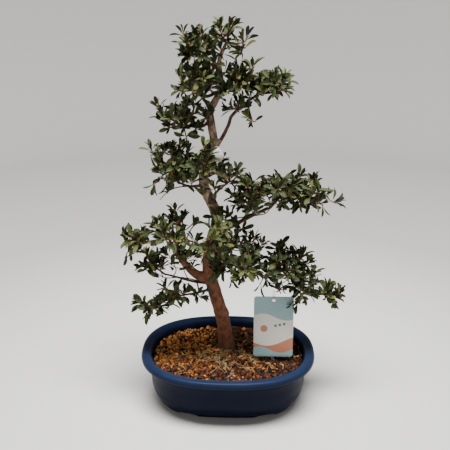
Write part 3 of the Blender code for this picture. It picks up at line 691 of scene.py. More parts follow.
def makeGranules(rng, finishes):
    # A close layer of grains all over, and larger chips strewn on it.
    step = soil["spacing"]
    grid = np.meshgrid(*(np.arange(-half, half, step) for half in pot["half"]))
    grid = np.stack([side.ravel() for side in grid], 1)
    spots = inside(grid + rng.uniform(-0.5, 0.5, grid.shape) * step * soil["jitter"], soil["grainInset"])
    # Twice as many as are wanted, since some fall outside the oval.
    chips = inside(rng.uniform(-1, 1, (soil["chips"] * 2, 2)) * pot["half"], soil["chipInset"])
    chips = chips[: soil["chips"]]
    layers = [(spots, soil["size"], soil["lift"]), (chips, soil["chipSize"], soil["chipLift"])]
    sizes = np.concatenate([rng.uniform(*size, len(layer)) for layer, size, _ in layers])
    lifts = np.concatenate([rng.normal(*lift, len(layer)) for layer, _, lift in layers])
    spots = np.concatenate([spots, chips])
    tones = np.array([soilTone(rng, x, y) for x, y in spots])
    places = lumpPlaces(rng, spots, lifts, sizes, soil["flat"], soil["tilt"])
    masters = lumpMasters(*soil["grainLumps"], soil["seed"])
    layLumps("soilGranules", masters, rng, places, tones, finishes, soil["grainAngle"])


def makePebbles(rng, finishes):
    # Larger worn pebbles, most of them behind the trunk and along the wall.
    middle, reach, share = soil["behindTrunk"]
    spots = inside(np.concatenate([
        rng.normal(middle, reach, (int(soil["pebbles"] * share), 2)),
        rng.uniform(-1, 1, (soil["pebbles"], 2)) * pot["half"],
    ]), soil["pebbleInset"])
    sizes = rng.uniform(*soil["pebbleSize"], len(spots))
    places = lumpPlaces(rng, spots, soil["pebbleLift"], sizes, soil["pebbleFlat"], soil["pebbleTilt"])
    choices, shares = soil["pebbleTones"]
    tones = rng.choice(choices, len(places), p=shares)
    masters = lumpMasters(*soil["pebbleLumps"], soil["seed"] + 3)
    layLumps("soilPebbles", masters, rng, places, tones, finishes, soil["pebbleAngle"])


def makeThreads(rng, finish):
    # Dry moss and root threads on top, in front of the trunk.
    courses = []
    for _ in range(soil["threads"]):
        x, y = rng.normal(*soil["threadPlace"])
        if not len(inside(np.array([[x, y]]), soil["threadInset"])):
            continue
        heading, long = rng.uniform(*anyTurn), rng.uniform(*soil["threadStep"])
        bends = []
        for _ in range(soil["threadBends"]):
            heading += rng.normal(0, soil["threadCurl"])
            height = soilHeight(np.array(x), np.array(y)) + soil["threadLift"]
            bends.append((x, y, height + rng.uniform(0, soil["threadRise"])))
            x, y = x + long * math.cos(heading), y + long * math.sin(heading)
        course = smoothCourse(bends, 3)
        courses.append((course, np.interp(np.linspace(0, 1, len(course)), *soil["threadRadii"])))
    addPiece("soilThreads", limbMesh("soilThreads", courses, 1), [finish])


def makeSoil():
    rng = np.random.default_rng(soil["seed"])
    finishes = [
        patchyFinish(name, pair, soil["look"], pits=soil["pits"], Specular_IOR_Level=0.25)
        for name, pair in soil["tones"].items()
    ]
    makeSoilBed(finishes[4])
    makeGranules(rng, finishes)
    makePebbles(rng, finishes)
    makeThreads(rng, finishes[6])
    print("soil ready")


makeSoil()


# The trunk and boughs.
trunk = dict(
    bends=[
        (-2, 14, 60), (-8, 13, 111), (-22, 10, 167), (-27, 8, 195), (-22, 6, 232), (-15, 6, 265),
        (-31, 5, 309), (-28, 3, 335), (-18, 2, 358), (-21, 2, 388), (-22, 3, 406), (-9, 2, 433),
        (-11, -2, 464), (-3, -5, 486),
    ],
    tip=1.6, swell=8.9, taper=0.68, flare=5.6, flareReach=0.02, voxel=0.75, steps=8, sides=10, onTrunk=2.6,
    sample=1.2, apart=130.0, collar=0.42, collarReach=(2.2, 0.35),
    thick=7.0, ridge=0.3, ridgeLength=0.22, ridgeSize=0.34, lump=0.75, lumpSize=(0.1, 0.1, 0.085),
    ridgeDetail=(0.9, 2.1, 3), flake=0.16, flakeSize=(0.9, 0.9, 0.35), soften=(0.5, 3),
    rootRidges=5, rootTurns=(0.8, 2.0), rootUneven=0.5, rootRidge=0.9, rootTop=64, rootFade=9,
    # Healed knots: place, height and reach.
    knots=[
        ((0, 8, 122), 2.4, 6.0), ((-1, 9, 136), -0.7, 6.5), ((-19, 0, 173), 1.3, 6.0),
        ((-12, 1, 148), 0.8, 5.5), ((-9, -2, 92), 0.8, 6.0),
    ],
    lowTones=((0.1, 0.032, 0.014), (0.232, 0.084, 0.039)), highTones=((0.08, 0.05, 0.029), (0.42, 0.3, 0.2)),
    grain=(420.0, 0.3), patches=(95.0, 5.0, 2.6), streaks=(0.6, 0.2), climb=(0.2, 0.3),
    # The bark is darker just above the soil, up to 85 mm.
    darkBase=(0.064, 0.085, 0.75), soilTone=(0.035, 0.018, 0.012), crack=0.35, crackTone=(0.035, 0.02, 0.013),
    rough=(0.9, 0.66), bump=(0.5, 0.0005),
    boughGrain=(620.0, 0.2), boughTones=((0.035, 0.019, 0.013), (0.13, 0.075, 0.05)),
    boughRough=(0.88, 0.7), boughBump=(0.6, 0.0004),
)
# Each bough: the limb it leaves, its radius at root and tip, and its bends.
boughs = {
    "low_left": ("trunk", 6.0, 4.2, [(-27, 8, 173), (-42, 4, 183), (-55, -1, 197), (-67, -8, 219)]),
    "left_under": ("trunk", 2.0, 1.4, [(-26, 13, 163), (-46, 12, 168), (-66, 9, 175), (-84, 5, 182)]),
    "lowest_left": ("trunk", 2.1, 1.4, [(-25, 7, 156), (-42, 1, 157), (-58, -8, 158)]),
    "front_low": ("trunk", 2.2, 1.6, [(-22, 6, 224), (-21, -12, 233), (-20, -24, 241)]),
    "back_low": ("trunk", 2.4, 1.7, [(-23, 6, 220), (-13, 26, 211), (-8, 38, 206)]),
    "low_right": ("trunk", 2.9, 1.9, [(-25, 7, 203), (0, 4, 200), (24, 2, 193), (47, 2, 184)]),
    "low_right_near": ("trunk", 2.0, 1.4, [(-23, 6, 211), (-2, -9, 214), (11, -18, 214)]),
    "mid_right": ("trunk", 3.1, 2.2, [(-19, 6, 245), (4, 4, 253), (23, 2, 265), (52, 2, 280)]),
    "mid_right_near": ("mid_right", 1.6, 1.3, [(21, 2, 264), (28, 0, 278)]),
    "mid_left": ("trunk", 1.8, 1.4, [(-31, 5, 308), (-49, 4, 308), (-62, 4, 312)]),
    "mid_front": ("trunk", 1.8, 1.4, [(-28, 3, 327), (-29, -12, 334), (-29, -18, 338)]),
    "back_mid": ("trunk", 2.0, 1.5, [(-29, 3, 320), (-30, 20, 320), (-30, 30, 318)]),
    "mid_sprig": ("trunk", 1.5, 1.1, [(-23, 6, 288), (-14, -3, 303), (-2, -7, 315)]),
    "upper_left": ("trunk", 1.9, 1.4, [(-22, 2, 395), (-33, 2, 386), (-50, 2, 386)]),
    "upper_right": (
        "trunk", 2.6, 1.7,
        [(-18, 2, 355), (-8, 1, 372), (0, 0, 388), (5, -1, 401), (24, -2, 418), (34, -1, 425)],
    ),
    "upper_sprig": ("upper_right", 1.1, 1.0, [(4, -1, 398), (9, -5, 405)]),
    "hang_sprig": ("upper_right", 1.1, 1.0, [(23, -2, 417), (25, -7, 411)]),
    "upper_right_near": ("trunk", 1.7, 1.3, [(-10, 2, 431), (4, 2, 432)]),
    "left_upper": ("trunk", 2.3, 1.6, [(-21, 3, 409), (-28, -3, 418), (-34, -5, 427)]),
    "back_upper": ("trunk", 1.8, 1.4, [(-13, 3, 423), (-18, 18, 424), (-23, 27, 427)]),
    "top_left": ("trunk", 1.7, 1.2, [(-11, -1, 455), (-20, -1, 461), (-27, 0, 468)]),
}


def sharesAlong(course):
    steps = stepsOf(course)
    return np.concatenate([[0.0], np.cumsum(steps)]) / steps.sum()


def trunkRadii(shares):
    taper = trunk["tip"] + trunk["swell"] * (1 - shares) ** trunk["taper"]
    return taper + trunk["flare"] * np.exp(-shares / trunk["flareReach"])


def limbCourses():
    # The same courses as the solids follow, and finer ones for the bark mesh.
    plain, fine = {}, {}
    for store, steps in ((plain, 2), (fine, trunk["steps"])):
        course = smoothCourse(trunk["bends"], steps)
        store["trunk"] = (course, trunkRadii(sharesAlong(course)))
        for name, (parent, root, tip, bends) in boughs.items():
            axis = smoothCourse(plain[parent][0], 3)
            nearest = axis[np.argmin(norm(axis - np.array(bends[0]), axis=1))]
            course = smoothCourse([nearest] + bends[1:], steps)
            shares = sharesAlong(course)
            radii = root + (tip - root) * shares
            if store is fine:
                # A bough swells where it leaves its parent.
                own, carrier = trunk["collarReach"]
                reach = own * root + plain[parent][1][0] * carrier
                radii = radii + trunk["collar"] * root * np.exp(-shares * stepsOf(course).sum() / reach)
            store[name] = (course, radii)
    return plain, fine


limbs, fineLimbs = limbCourses()


def limbSamples(courses):
    # Dense points on every limb's axis, with the limb's own frame there and the distance run along it.
    points, frames, runs, radii = [], [], [], []
    for number, (course, sizes) in enumerate(courses):
        shares = sharesAlong(course)
        length = stepsOf(course).sum()
        fine = np.linspace(0, 1, max(8, int(length / trunk["sample"])))
        line = np.column_stack([np.interp(fine, shares, course[:, axis]) for axis in range(3)])
        tangents = np.gradient(line, axis=0)
        tangents /= norm(tangents, axis=1)[:, None]
        whole = unit(course[-1] - course[0])
        side = np.cross(tangents, np.eye(3)[np.argmin(np.abs(whole))])
        side /= norm(side, axis=1)[:, None]
        points.append(line)
        frames.append(np.stack([side, np.cross(tangents, side)], 1))
        runs.append(fine * length + trunk["apart"] * number)
        radii.append(np.interp(fine, shares, sizes))
    return [np.concatenate(part) for part in (points, frames, runs, radii)]


def grainOf(places, samples):
    # Each place in its limb's own terms: two offsets across, and the run along, in millimetres.
    points, frames, runs, _ = samples
    tree = KDTree(len(points))
    for number, point in enumerate(points):
        tree.insert(point, number)
    tree.balance()
    nearest = np.array([tree.find(place)[1] for place in places])
    offsets = places - points[nearest]
    across = np.einsum("nij,nj->ni", frames[nearest], offsets)
    return np.column_stack([across, runs[nearest]]), nearest, offsets


def grainIn(tree, scale, stretch):
    # The limb's own grain, drawn out along it, as streaks, plates and a height.
    grain = addNode(tree, "Attribute", attribute_name="grain").outputs["Vector"]
    along = addNode(tree, "Mapping", {"Vector": grain, "Scale": (1.0, 1.0, stretch)}).outputs[0]
    return grain, effect(tree, "barkGrain", Vector=along, Scale=scale)


def barkFinish():
    material, tree, shader, place = newFinish("azaleaBark", Specular_IOR_Level=0.35)
    grain, (streaks, plates, relief) = grainIn(tree, *trunk["grain"])
    patch = minus(tree, mottled(tree, grain, *trunk["patches"]), 0.5)
    share, least = trunk["streaks"]
    blend = plus(tree, plus(tree, times(tree, streaks, share), least), patch)
    height = axesOf(tree, place)[2]
    low, high = (mixed(tree, blend, *trunk[tones]) for tones in ("lowTones", "highTones"))
    colour = mixed(tree, spread(tree, height, *trunk["climb"]), low, high)
    # Darker just above the soil.
    colour = mixed(tree, spread(tree, height, *trunk["darkBase"], 0.0), colour, trunk["soilTone"])
    colour = mixed(tree, spread(tree, plates, 0.0, 1.0, trunk["crack"], 0.0), colour, trunk["crackTone"])
    join(tree, shader, colour, spread(tree, blend, 0, 1, *trunk["rough"]), relief, *trunk["bump"])
    return material


def boughFinish():
    material, tree, shader, _ = newFinish("boughBark", Specular_IOR_Level=0.3)
    _, (streaks, _, relief) = grainIn(tree, *trunk["boughGrain"])
    rough = spread(tree, streaks, 0, 1, *trunk["boughRough"])
    join(tree, shader, mixed(tree, streaks, *trunk["boughTones"]), rough, relief, *trunk["boughBump"])
    return material


def oneSkin():
    # All the limbs as one closed skin.
    rough = looseObject("limbs", limbMesh("limbs", list(fineLimbs.values()), trunk["sides"]))
    remesh = rough.modifiers.new("oneSkin", "REMESH")
    remesh.mode, remesh.voxel_size = "VOXEL", trunk["voxel"] * mm
    smooth = rough.modifiers.new("soften", "SMOOTH")
    smooth.factor, smooth.iterations = trunk["soften"]
    return bakedMesh(rough)


def barkRelief(grain, radii):
    # Ridges along the limb, lumps and flakes, fainter on thin wood.
    fibre = grain * np.array([1.0, 1.0, trunk["ridgeLength"]])
    relief = np.empty(len(grain))
    for k in range(len(grain)):
        thick = min(1.0, radii[k] / trunk["thick"])
        ridge = noise.fractal(Vector(fibre[k] * trunk["ridgeSize"]), *trunk["ridgeDetail"])
        lump = noise.noise(Vector(grain[k] * np.array(trunk["lumpSize"])))
        flake = noise.noise(Vector(grain[k] * np.array(trunk["flakeSize"])))
        relief[k] = thick * (trunk["ridge"] * ridge + trunk["lump"] * lump + trunk["flake"] * flake)
    return relief


def rootRelief(places, offsets):
    # Roots show as ridges where the trunk meets the soil.
    angles = np.arctan2(offsets[:, 1], offsets[:, 0])
    first, second = trunk["rootTurns"]
    roots = np.cos(trunk["rootRidges"] * angles + first) + trunk["rootUneven"] * np.cos(2 * angles + second)
    above = np.clip(places[:, 2] - trunk["rootTop"], 0, None)
    return trunk["rootRidge"] * roots * np.exp(-above / trunk["rootFade"])


def makeLimbs():
    mesh = oneSkin()
    flat = np.empty(len(mesh.vertices) * 3)
    mesh.vertices.foreach_get("co", flat)
    places = (flat.reshape(-1, 3) - potMiddle) / mm
    samples = limbSamples(fineLimbs.values())
    grain, nearest, offsets = grainOf(places, samples)
    radii = samples[3][nearest]
    outward = offsets / np.maximum(norm(offsets, axis=1), 1e-6)[:, None]
    trunkEnd = int(stepsOf(fineLimbs["trunk"][0]).sum() / trunk["sample"])
    relief = barkRelief(grain, radii) + np.where(nearest < trunkEnd, rootRelief(places, offsets), 0)
    for spot, height, reach in trunk["knots"]:
        relief += height * np.exp(-(norm(places - spot, axis=1) / reach) ** 2)
    places += outward * relief[:, None]
    mesh.vertices.foreach_set("co", inMetres(places).ravel())
    layer = mesh.attributes.new("grain", "FLOAT_VECTOR", "POINT")
    layer.data.foreach_set("vector", (grain * mm).ravel())
    replaced = ["trunk"] + [f"bough_{name}" for name in boughs]
    addPiece("trunkAndBoughs", mesh, [barkFinish(), boughFinish()], replaced)
    onTrunk = (nearest < trunkEnd) | (radii > trunk["onTrunk"])
    firsts = [face.vertices[0] for face in mesh.polygons]
    mesh.polygons.foreach_set("material_index", np.where(onTrunk[firsts], 0, 1))
    print("trunk and boughs ready")


makeLimbs()


# Each mass stands on the bough of its name, the apex on the trunk. Its lobes: centre and half sizes.
masses = {
    "low_left": [(-67, -12, 254, 40, 40, 27), (-123, -8, 240, 22, 26, 22)],
    "left_under": [(-105, 6, 204, 26, 26, 17)],
    "lowest_left": [(-70, -16, 167, 24, 21, 20), (-105, -10, 150, 25, 24, 21)],
    "front_low": [(-20, -45, 258, 28, 29, 31)],
    "back_low": [(-4, 60, 201, 38, 35, 28)],
    "low_right_near": [(24, -28, 217, 27, 26, 29)],
    "low_right": [(75, 2, 203, 34, 38, 30), (103, -4, 176, 24, 26, 28), (141, 4, 162, 23, 20, 19)],
    "mid_right_near": [(28, -4, 303, 25, 31, 31)],
    "mid_right": [(71, 2, 310, 29, 34, 27), (107, 0, 303, 29, 32, 27)],
    "mid_left": [(-74, 4, 340, 32, 36, 31), (-78, -2, 307, 15, 14, 13)],
    "mid_front": [(-30, -31, 354, 20, 23, 29)],
    "back_mid": [(-31, 52, 324, 31, 31, 28)],
    "mid_sprig": [(3, -11, 330, 19, 18, 20)],
    "upper_left": [(-66, 2, 399, 29, 30, 21)],
    "upper_right_near": [(16, 2, 445, 20, 27, 22)],
    "upper_right": [(54, 0, 441, 28, 29, 21)],
    "upper_sprig": [(14, -9, 416, 14, 13, 14)],
    "hang_sprig": [(29, -12, 402, 13, 12, 13)],
    "left_upper": [(-45, -8, 444, 30, 32, 25)],
    "back_upper": [(-29, 46, 439, 25, 26, 22)],
    "top_left": [(-40, 0, 482, 26, 27, 23)],
    "apex": [(-5, -8, 499, 19, 22, 23), (19, -8, 489, 16, 18, 20)],
}
growth = dict(
    seed=7, reach=1.05, apart=0.05, stemStart=3.3, stemDrop=0.4, stemStep=14.0, tipInset=9.0,
    tipLeastHalf=0.45, lowest=-0.7, tipDrop=3.5, margin=1.4, pathWeight=0.35, fallWeight=0.6,
    kneeAt=0.55, kneeSag=0.12,
    wander=(1.1, 0.08), tipRadius=0.78, thicken=0.42, knee=1.12, newWood=1.1,
    # Two rounds of tips: their depth in the lobe, their spacing, and how many are tried.
    rounds=[((0.75, 1.0), (10.5, 0.32), 400), ((0.5, 1.0), (6.7, 0.15), 500)],
)
leafing = dict(
    outline=((0, 0.05), (0.12, 0.13), (0.3, 0.46), (0.5, 0.84), (0.68, 1), (0.86, 0.8), (0.95, 0.48), (1, 0)),
    # Each kind of blade: its fold, droop and twist.
    blades=((0.17, 0, 0), (0.23, -0.05, 0.05), (0.13, 0.04, -0.05), (0.2, 0.08, 0.04)), bow=0.04, taper=0.86,
    perTip=(7, 9), lengths=(21.0, 13.5), lean=(70, 12), jitter=11, widths=(0.265, 0.345), step=0.64,
    forward=0.5, outward=0.8, rise=0.55, wobble=0.16, sizes=(0.84, 1.08), ownLength=(0.9, 1.08), roll=0.22,
    older=0.8, olderLean=(20, 45), shorter=(1.0, 0.88, 0.76), reach=(1.04, 1.17), boxMargin=3.5, limbRoom=0.9,
    tones={
        "leafDeep": ((0.011, 0.0175, 0.005), (0.031, 0.042, 0.014)),
        "leafMid": ((0.019, 0.028, 0.006), (0.042, 0.054, 0.017)),
        "leafOlive": ((0.032, 0.04, 0.007), (0.058, 0.067, 0.019)),
        "leafYoung": ((0.058, 0.076, 0.01), (0.084, 0.098, 0.024)),
        "leafBronze": ((0.033, 0.031, 0.008), (0.044, 0.043, 0.014)),
    },
    # Shares of those tones, and what the shaded right side and youth add.
    toneMix=(0.38, 0.37, 0.2, 0, 0.05), shadedMix=(0.2, -0.1, -0.1, 0, 0), youthMix=(-0.5, -0.5, 0, 1, 0),
    shadedFrom=(10, 90), sameTone=0.75,
    youth={"low_left": 0.3, "front_low": 0.4, "apex": 0.1, "left_upper": 0.25, "upper_right": 0.2,
           "upper_sprig": 0.2, "low_right_near": 0.15},
    leastYouth=0.07, patches=(75.0, 3.0, 2.6), patchTones=(0.74, 1.4), rib=(0.45, 2.6), margin=(0.35, 0.6),
    stalk=(0.85, (0.17, 0.07, 0.022)), rough=(0.48, 0.62), underRough=0.25, bump=(0.35, 0.0004),
)
twigging = dict(
    old=((0.03, 0.014, 0.012), (0.13, 0.06, 0.045)), young=((0.1, 0.036, 0.018), (0.24, 0.1, 0.045)),
    grain=520.0, rough=(0.82, 0.6), bump=(0.5, 0.0003),
    bud=(0.95, 0.95, 2.1), budSizes=(0.8, 1.15), budTaper=0.35,
    budTones=((0.17, 0.1, 0.035), (0.34, 0.25, 0.1)),
    budLook=dict(patches=(500.0, 3.0, 2.0), grains=1500.0, rough=(0.5, 0.7), bump=(0.4, 0.0003)),
)

# Lone shoots outside the masses, and those whose few leaves hang.
shoots = [
    (-16, -10, 463), (-20, -12, 440), (-31, -6, 423), (-3, -8, 453), (14, -6, 473), (-5, -8, 432),
    (30, 0, 458), (22, -4, 439), (-51, -3, 473), (-39, -6, 453), (-27, -6, 396), (-40, -4, 383),
    (-46, -6, 414), (-39, -8, 405), (-8, -8, 423), (1, -8, 409), (-51, -6, 372), (-50, -4, 355),
    (-59, -6, 332), (-53, -4, 324), (-18, -10, 310), (-3, -8, 315), (5, -8, 299), (13, -6, 284), (0, -4, 272),
    (-14, -12, 273), (19, -6, 251), (6, 0, 257), (35, -8, 242), (45, -6, 234), (-40, -10, 236),
    (-83, -8, 216), (-75, -6, 205), (-88, -4, 198), (-66, -8, 218), (-12, -14, 200), (-32, -26, 223),
    (-7, -24, 214), (-37, 0, 149), (-68, -12, 280), (-105, -2, 203), (-115, -12, 142), (138, 0, 288),
    (35, -8, 277), (91, 0, 323), (-98, 0, 358), (-87, 0, 412), (-56, -6, 211), (-47, -8, 198),
    (-18, -16, 202), (-18, -8, 481), (-54, -2, 497), (-39, -2, 496), (-30, -4, 495), (5, -6, 504),
    (26, -4, 423), (36, -2, 423), (-4, -8, 429), (9, -8, 428), (-40, -8, 384), (65, -6, 287), (92, -4, 283),
    (29, -8, 235), (39, -6, 224), (99, -2, 215), (106, -4, 204), (-127, -6, 221), (-108, -8, 193),
    (-79, -6, 146), (17, -4, 489), (-9, -8, 480), (-49, -4, 465), (-43, -6, 413), (-60, -4, 361),
    (-53, -6, 319), (-47, -8, 317), (-126, -8, 217), (-48, -8, 215), (-17, -14, 193), (-4, -18, 201),
    (36, -8, 220), (38, -8, 209), (68, -2, 229), (95, -4, 205), (113, -4, 190), (71, -8, 162), (-43, -6, 156),
    (-84, -8, 169), (-4, -8, 267), (131, -6, 164),
]
droopingShoots = [
    (-79, 0, 314), (-50, -10, 230), (-5, -8, 198), (12, -16, 194), (27, -16, 201), (51, -4, 182),
    (98, -8, 158), (-129, -8, 221), (121, -4, 287), (68, -6, 291), (74, -6, 172), (95, -6, 157),
    (-105, -12, 142), (9, -6, 469), (-112, -10, 132), (-91, -12, 147), (20, -20, 194), (4, -20, 190),
    (43, -16, 181), (87, -10, 150), (144, -6, 157), (-134, -10, 218), (-94, -6, 314), (94, -8, 147),
    (145, -6, 153), (-113, -8, 126), (-91, -12, 144),
]

# Where one sees through the crown from the front: x, z and reach.
openings = [
    (-50, 246, 9), (-33, 246, 9), (13, 497, 8), (-68, 445, 8), (-42, 360, 8), (-79, 347, 6), (-100, 339, 6),
    (69, 332, 9), (34, 325, 6), (-116, 207, 8), (-113, 154, 9), (-79, 168, 5), (10, 218, 5), (58, 222, 6),
    (-85, 308, 7), (142, 292, 6), (127, 283, 5), (35, 401, 5), (-4, 284, 5), (-7, 305, 8), (-9, 287, 6),
    (-105, 328, 6), (134, 296, 6), (-91, 390, 6), (24, 486, 6), (-63, 465, 5), (-21, 322, 6), (6, 317, 6),
    (140, 306, 5), (23, 479, 6), (22, 250, 6), (36, 322, 5), (53, 329, 5), (72, 330, 4), (121, 311, 6),
    (-94, 271, 4), (-121, 254, 4), (-100, 159, 6), (-54, 264, 5), (-30, 265, 6), (-39, 235, 6), (-97, 324, 5),
    (-70, 378, 5), (-71, 430, 5), (-61, 477, 5), (-3, 509, 4),
]

# Bare lower twigs, each from older wood.
bareTwigs = [
    [(-38, 2, 174), (-62, -6, 183), (-83, -10, 184), (-96, -12, 193), (-106, -12, 208)],
    [(-74, -8, 184), (-69, -10, 196), (-75, -10, 210), (-82, -8, 224)],
    [(-87, -10, 184), (-90, -12, 202), (-85, -12, 218)],
    [(-54, -4, 180), (-59, -6, 194), (-56, -6, 206), (-62, -6, 220)],
    [(-42, 0, 178), (-51, -6, 196), (-69, -8, 198), (-80, -8, 206)],
    [(-40, -2, 310), (-61, -6, 310), (-74, -8, 306), (-83, -8, 298), (-87, -8, 293)],
    [(-56, -5, 310), (-64, -6, 319), (-74, -6, 322), (-82, -6, 329)],
    [(19, -4, 269), (39, -6, 273), (49, -6, 276), (56, -4, 286), (61, -4, 296)],
    [(31, -4, 275), (43, -6, 283), (53, -6, 292)],
    [(20, -8, 208), (40, -8, 193), (54, -10, 180), (68, -10, 177), (83, -8, 184)],
]
shooting = dict(room=24.0, youth=0.12, radii=(0.85, 0.6), sag=0.12, bareRadii=(0.85, 0.5))
hanging = dict(rise=-1.1, forward=0.4, lean=(42, 20), perTip=(2, 3), older=0.0, lengths=(18.0, 15.0))

limbStarts = np.concatenate([course[:-1] for course, _ in limbs.values()])
limbSpans = np.concatenate([np.diff(course, axis=0) for course, _ in limbs.values()])
limbRadii = np.concatenate([np.column_stack([radii[:-1], radii[1:]]) for _, radii in limbs.values()])
eye = np.array(studio["cameraPlace"])
sights = np.array([unit(np.array([x, 0, z]) - eye) for x, z, _ in openings])
openReach = np.array([reach for _, _, reach in openings])
lobesOf = {mass: np.array(lobes, float) for mass, lobes in masses.items()}


def lobeShare(points, lobes):
    # Least distance to the lobes, where 1 is on a lobe's surface.
    points = np.atleast_2d(points)
    return norm((points[:, None] - lobes[:, :3]) / lobes[:, 3:], axis=2).min(1)


def inOpening(points):
    offset = np.atleast_2d(points)[:, None] - eye
    off = norm(np.cross(offset, sights), axis=2)
    return (off < openReach).any(1)


def limbRoom(points):
    # Distance from points to the surface of the nearest limb.
    points = np.atleast_2d(points)
    offset = points[:, None] - limbStarts
    shares = np.clip((offset * limbSpans).sum(2) / (limbSpans**2).sum(1), 0, 1)
    gaps = norm(offset - limbSpans * shares[:, :, None], axis=2)
    return (gaps - (limbRadii[:, 0] + (limbRadii[:, 1] - limbRadii[:, 0]) * shares)).min(1)


def inOwnSpace(points, mass):
    own = lobeShare(points, lobesOf[mass])
    others = np.concatenate([lobes for name, lobes in lobesOf.items() if name != mass])
    return (own <= growth["reach"]) & (lobeShare(points, others) > own + growth["apart"])


def stemCourse(mass):
    course, radii = limbs["trunk" if mass == "apex" else mass]
    ahead = unit(course[-1] - course[-2])
    bends = [course[-1], course[-1] + ahead * growth["stemStart"]]
    bends += [lobe[:3] - np.array([0, 0, growth["stemDrop"] * lobe[5]]) for lobe in lobesOf[mass]]
    stem = [bends[0]]
    for start, end in zip(bends, bends[1:]):
        count = max(1, int(norm(end - start) / growth["stemStep"]))
        stem += [start + (end - start) * k / count for k in range(1, count + 1)]
    return np.array(stem), radii[-1]


def throwTips(rng, mass, tips, depth, spacings, throws):
    for lobe in lobesOf[mass]:
        half = np.maximum(lobe[3:] - growth["tipInset"], growth["tipLeastHalf"] * lobe[3:])
        spacing = spacings[0] + spacings[1] * lobe[3:].mean()
        for _ in range(throws):
            way = unit(rng.normal(size=3))
            tip = lobe[:3] + way * half * rng.uniform(*depth) - np.array([0, 0, growth["tipDrop"]])
            if way[2] < growth["lowest"] or inOpening(tip)[0]:
                continue
            if any(norm(tip - other) < spacing for other in tips):
                continue
            if inOwnSpace(tip, mass)[0] and limbRoom(tip)[0] > 2 * growth["margin"]:
                tips.append(tip)


def growTwigs(rng, tips, stem, mass):
    # Nearest tips first, each from the node that gives the shortest way home. Nodes hold place, run, parent.
    nodes = [(point, growth["stemStep"] * k, k - 1) for k, point in enumerate(stem)]
    twigs = []
    for tip in sorted(tips, key=lambda tip: norm(tip - stem[1])):
        places = np.array([node[0] for node in nodes[1:]])
        runs = np.array([node[1] for node in nodes[1:]])
        fall = np.maximum(places[:, 2] - tip[2], 0)
        costs = norm(tip - places, axis=1) + growth["pathWeight"] * runs + growth["fallWeight"] * fall
        root = 1 + int(np.argmin(costs))
        start, run, _ = nodes[root]
        reach = norm(tip - start)
        knee = start + growth["kneeAt"] * (tip - start) - np.array([0, 0, growth["kneeSag"] * reach])
        most, share = growth["wander"]
        knee = knee + rng.normal(size=3) * min(most, share * reach)
        course = smoothCourse([start, knee, tip], 4)
        if (limbRoom(course[2:]) < growth["margin"]).any() or not inOwnSpace(course[5:], mass).all():
            continue
        nodes.append((knee, run + growth["kneeAt"] * reach, root))
        nodes.append((tip, run + reach, len(nodes) - 1))
        twigs.append((course, len(nodes) - 2, len(nodes) - 1))
    return nodes, twigs


def twigLimbs(nodes, twigs, stem, stemRadius):
    # The more shoots a stretch feeds, the thicker it is.
    fed = np.zeros(len(nodes))
    for _, _, at in twigs:
        while at >= 0:
            fed[at] += 1
            at = nodes[at][2]
    size = growth["tipRadius"] * np.maximum(fed, 1) ** growth["thicken"]
    size = np.minimum(size, stemRadius)
    courses = []
    for course, knee, end in twigs:
        sizes = [size[knee] * growth["knee"], size[knee], size[end]]
        courses.append((course, np.interp(np.linspace(0, 2, len(course)), [0, 1, 2], sizes)))
    stemSizes = np.concatenate([[stemRadius], size[1: len(stem)]])
    fine = smoothCourse(stem, 3)
    stemRadii = np.interp(np.linspace(0, 1, len(fine)), np.linspace(0, 1, len(stem)), stemSizes)
    return (fine, stemRadii), courses


def leafMasters():
    # A long spoon-shaped blade, widest past its middle, folded along the rib, with a nearly straight rib.
    masters = []
    for fold, droop, twist in leafing["blades"]:
        bm = bmesh.new()
        bm.loops.layers.uv.new("UVMap")
        bmesh.ops.create_grid(bm, x_segments=2, y_segments=7, size=0.5, calc_uvs=True)
        for vertex in bm.verts:
            t = (vertex.co.y + 0.5) ** leafing["taper"]
            side = vertex.co.x * np.interp(t, *zip(*leafing["outline"]))
            rise = fold * abs(side) - droop * t**2 + leafing["bow"] * math.sin(math.pi * t)
            vertex.co = Vector((side, t, rise + twist * vertex.co.x * t))
        bmesh.ops.remove_doubles(bm, verts=bm.verts, dist=0.004)
        for face in bm.faces:
            if face.normal.z < 0:
                face.normal_flip()
        masters.append(meshFrom(bm, "leaf"))
    return masters


def frameTowards(direction, upper):
    side = unit(np.cross(upper, direction))
    return side, np.cross(direction, side)


def leafFits(ends, lobes, lone):
    # Inside its mass and the solids' box, clear of limbs and, unless its shoot is a lone one, of openings.
    places, margin = inMetres(ends), leafing["boxMargin"] * mm
    low, high = (np.array(corner) for corner in cadBox)
    boxed = ((places > low + margin) & (places < high - margin)).all()
    if (lobeShare(ends, lobes) > leafing["reach"]).any() or not boxed:
        return False
    if not lone and inOpening(ends).any():
        return False
    return not (limbRoom(ends) < leafing["limbRoom"]).any()


def addLeaf(rng, leaves, root, direction, upward, length, tone, lobes, lone):
    # As long as it can be in its place, rolled a little, and mostly in its shoot's own tone.
    across, normal = frameTowards(direction, upward)
    for reach in (length * shorter for shorter in leafing["shorter"]):
        if not leafFits(np.array([root + direction * reach * 0.6, root + direction * reach]), lobes, lone):
            continue
        width = reach * rng.uniform(*leafing["widths"])
        rolled = rng.normal() * leafing["roll"]
        side = math.cos(rolled) * across + math.sin(rolled) * normal
        front = math.cos(rolled) * normal - math.sin(rolled) * across
        own = tone if rng.random() < leafing["sameTone"] else rng.choice(3)
        place = placing(side, direction, front, np.array([width, reach, reach]) * mm, inMetres(root))
        leaves.append((place, rng.integers(len(leafing["blades"])), own))
        return


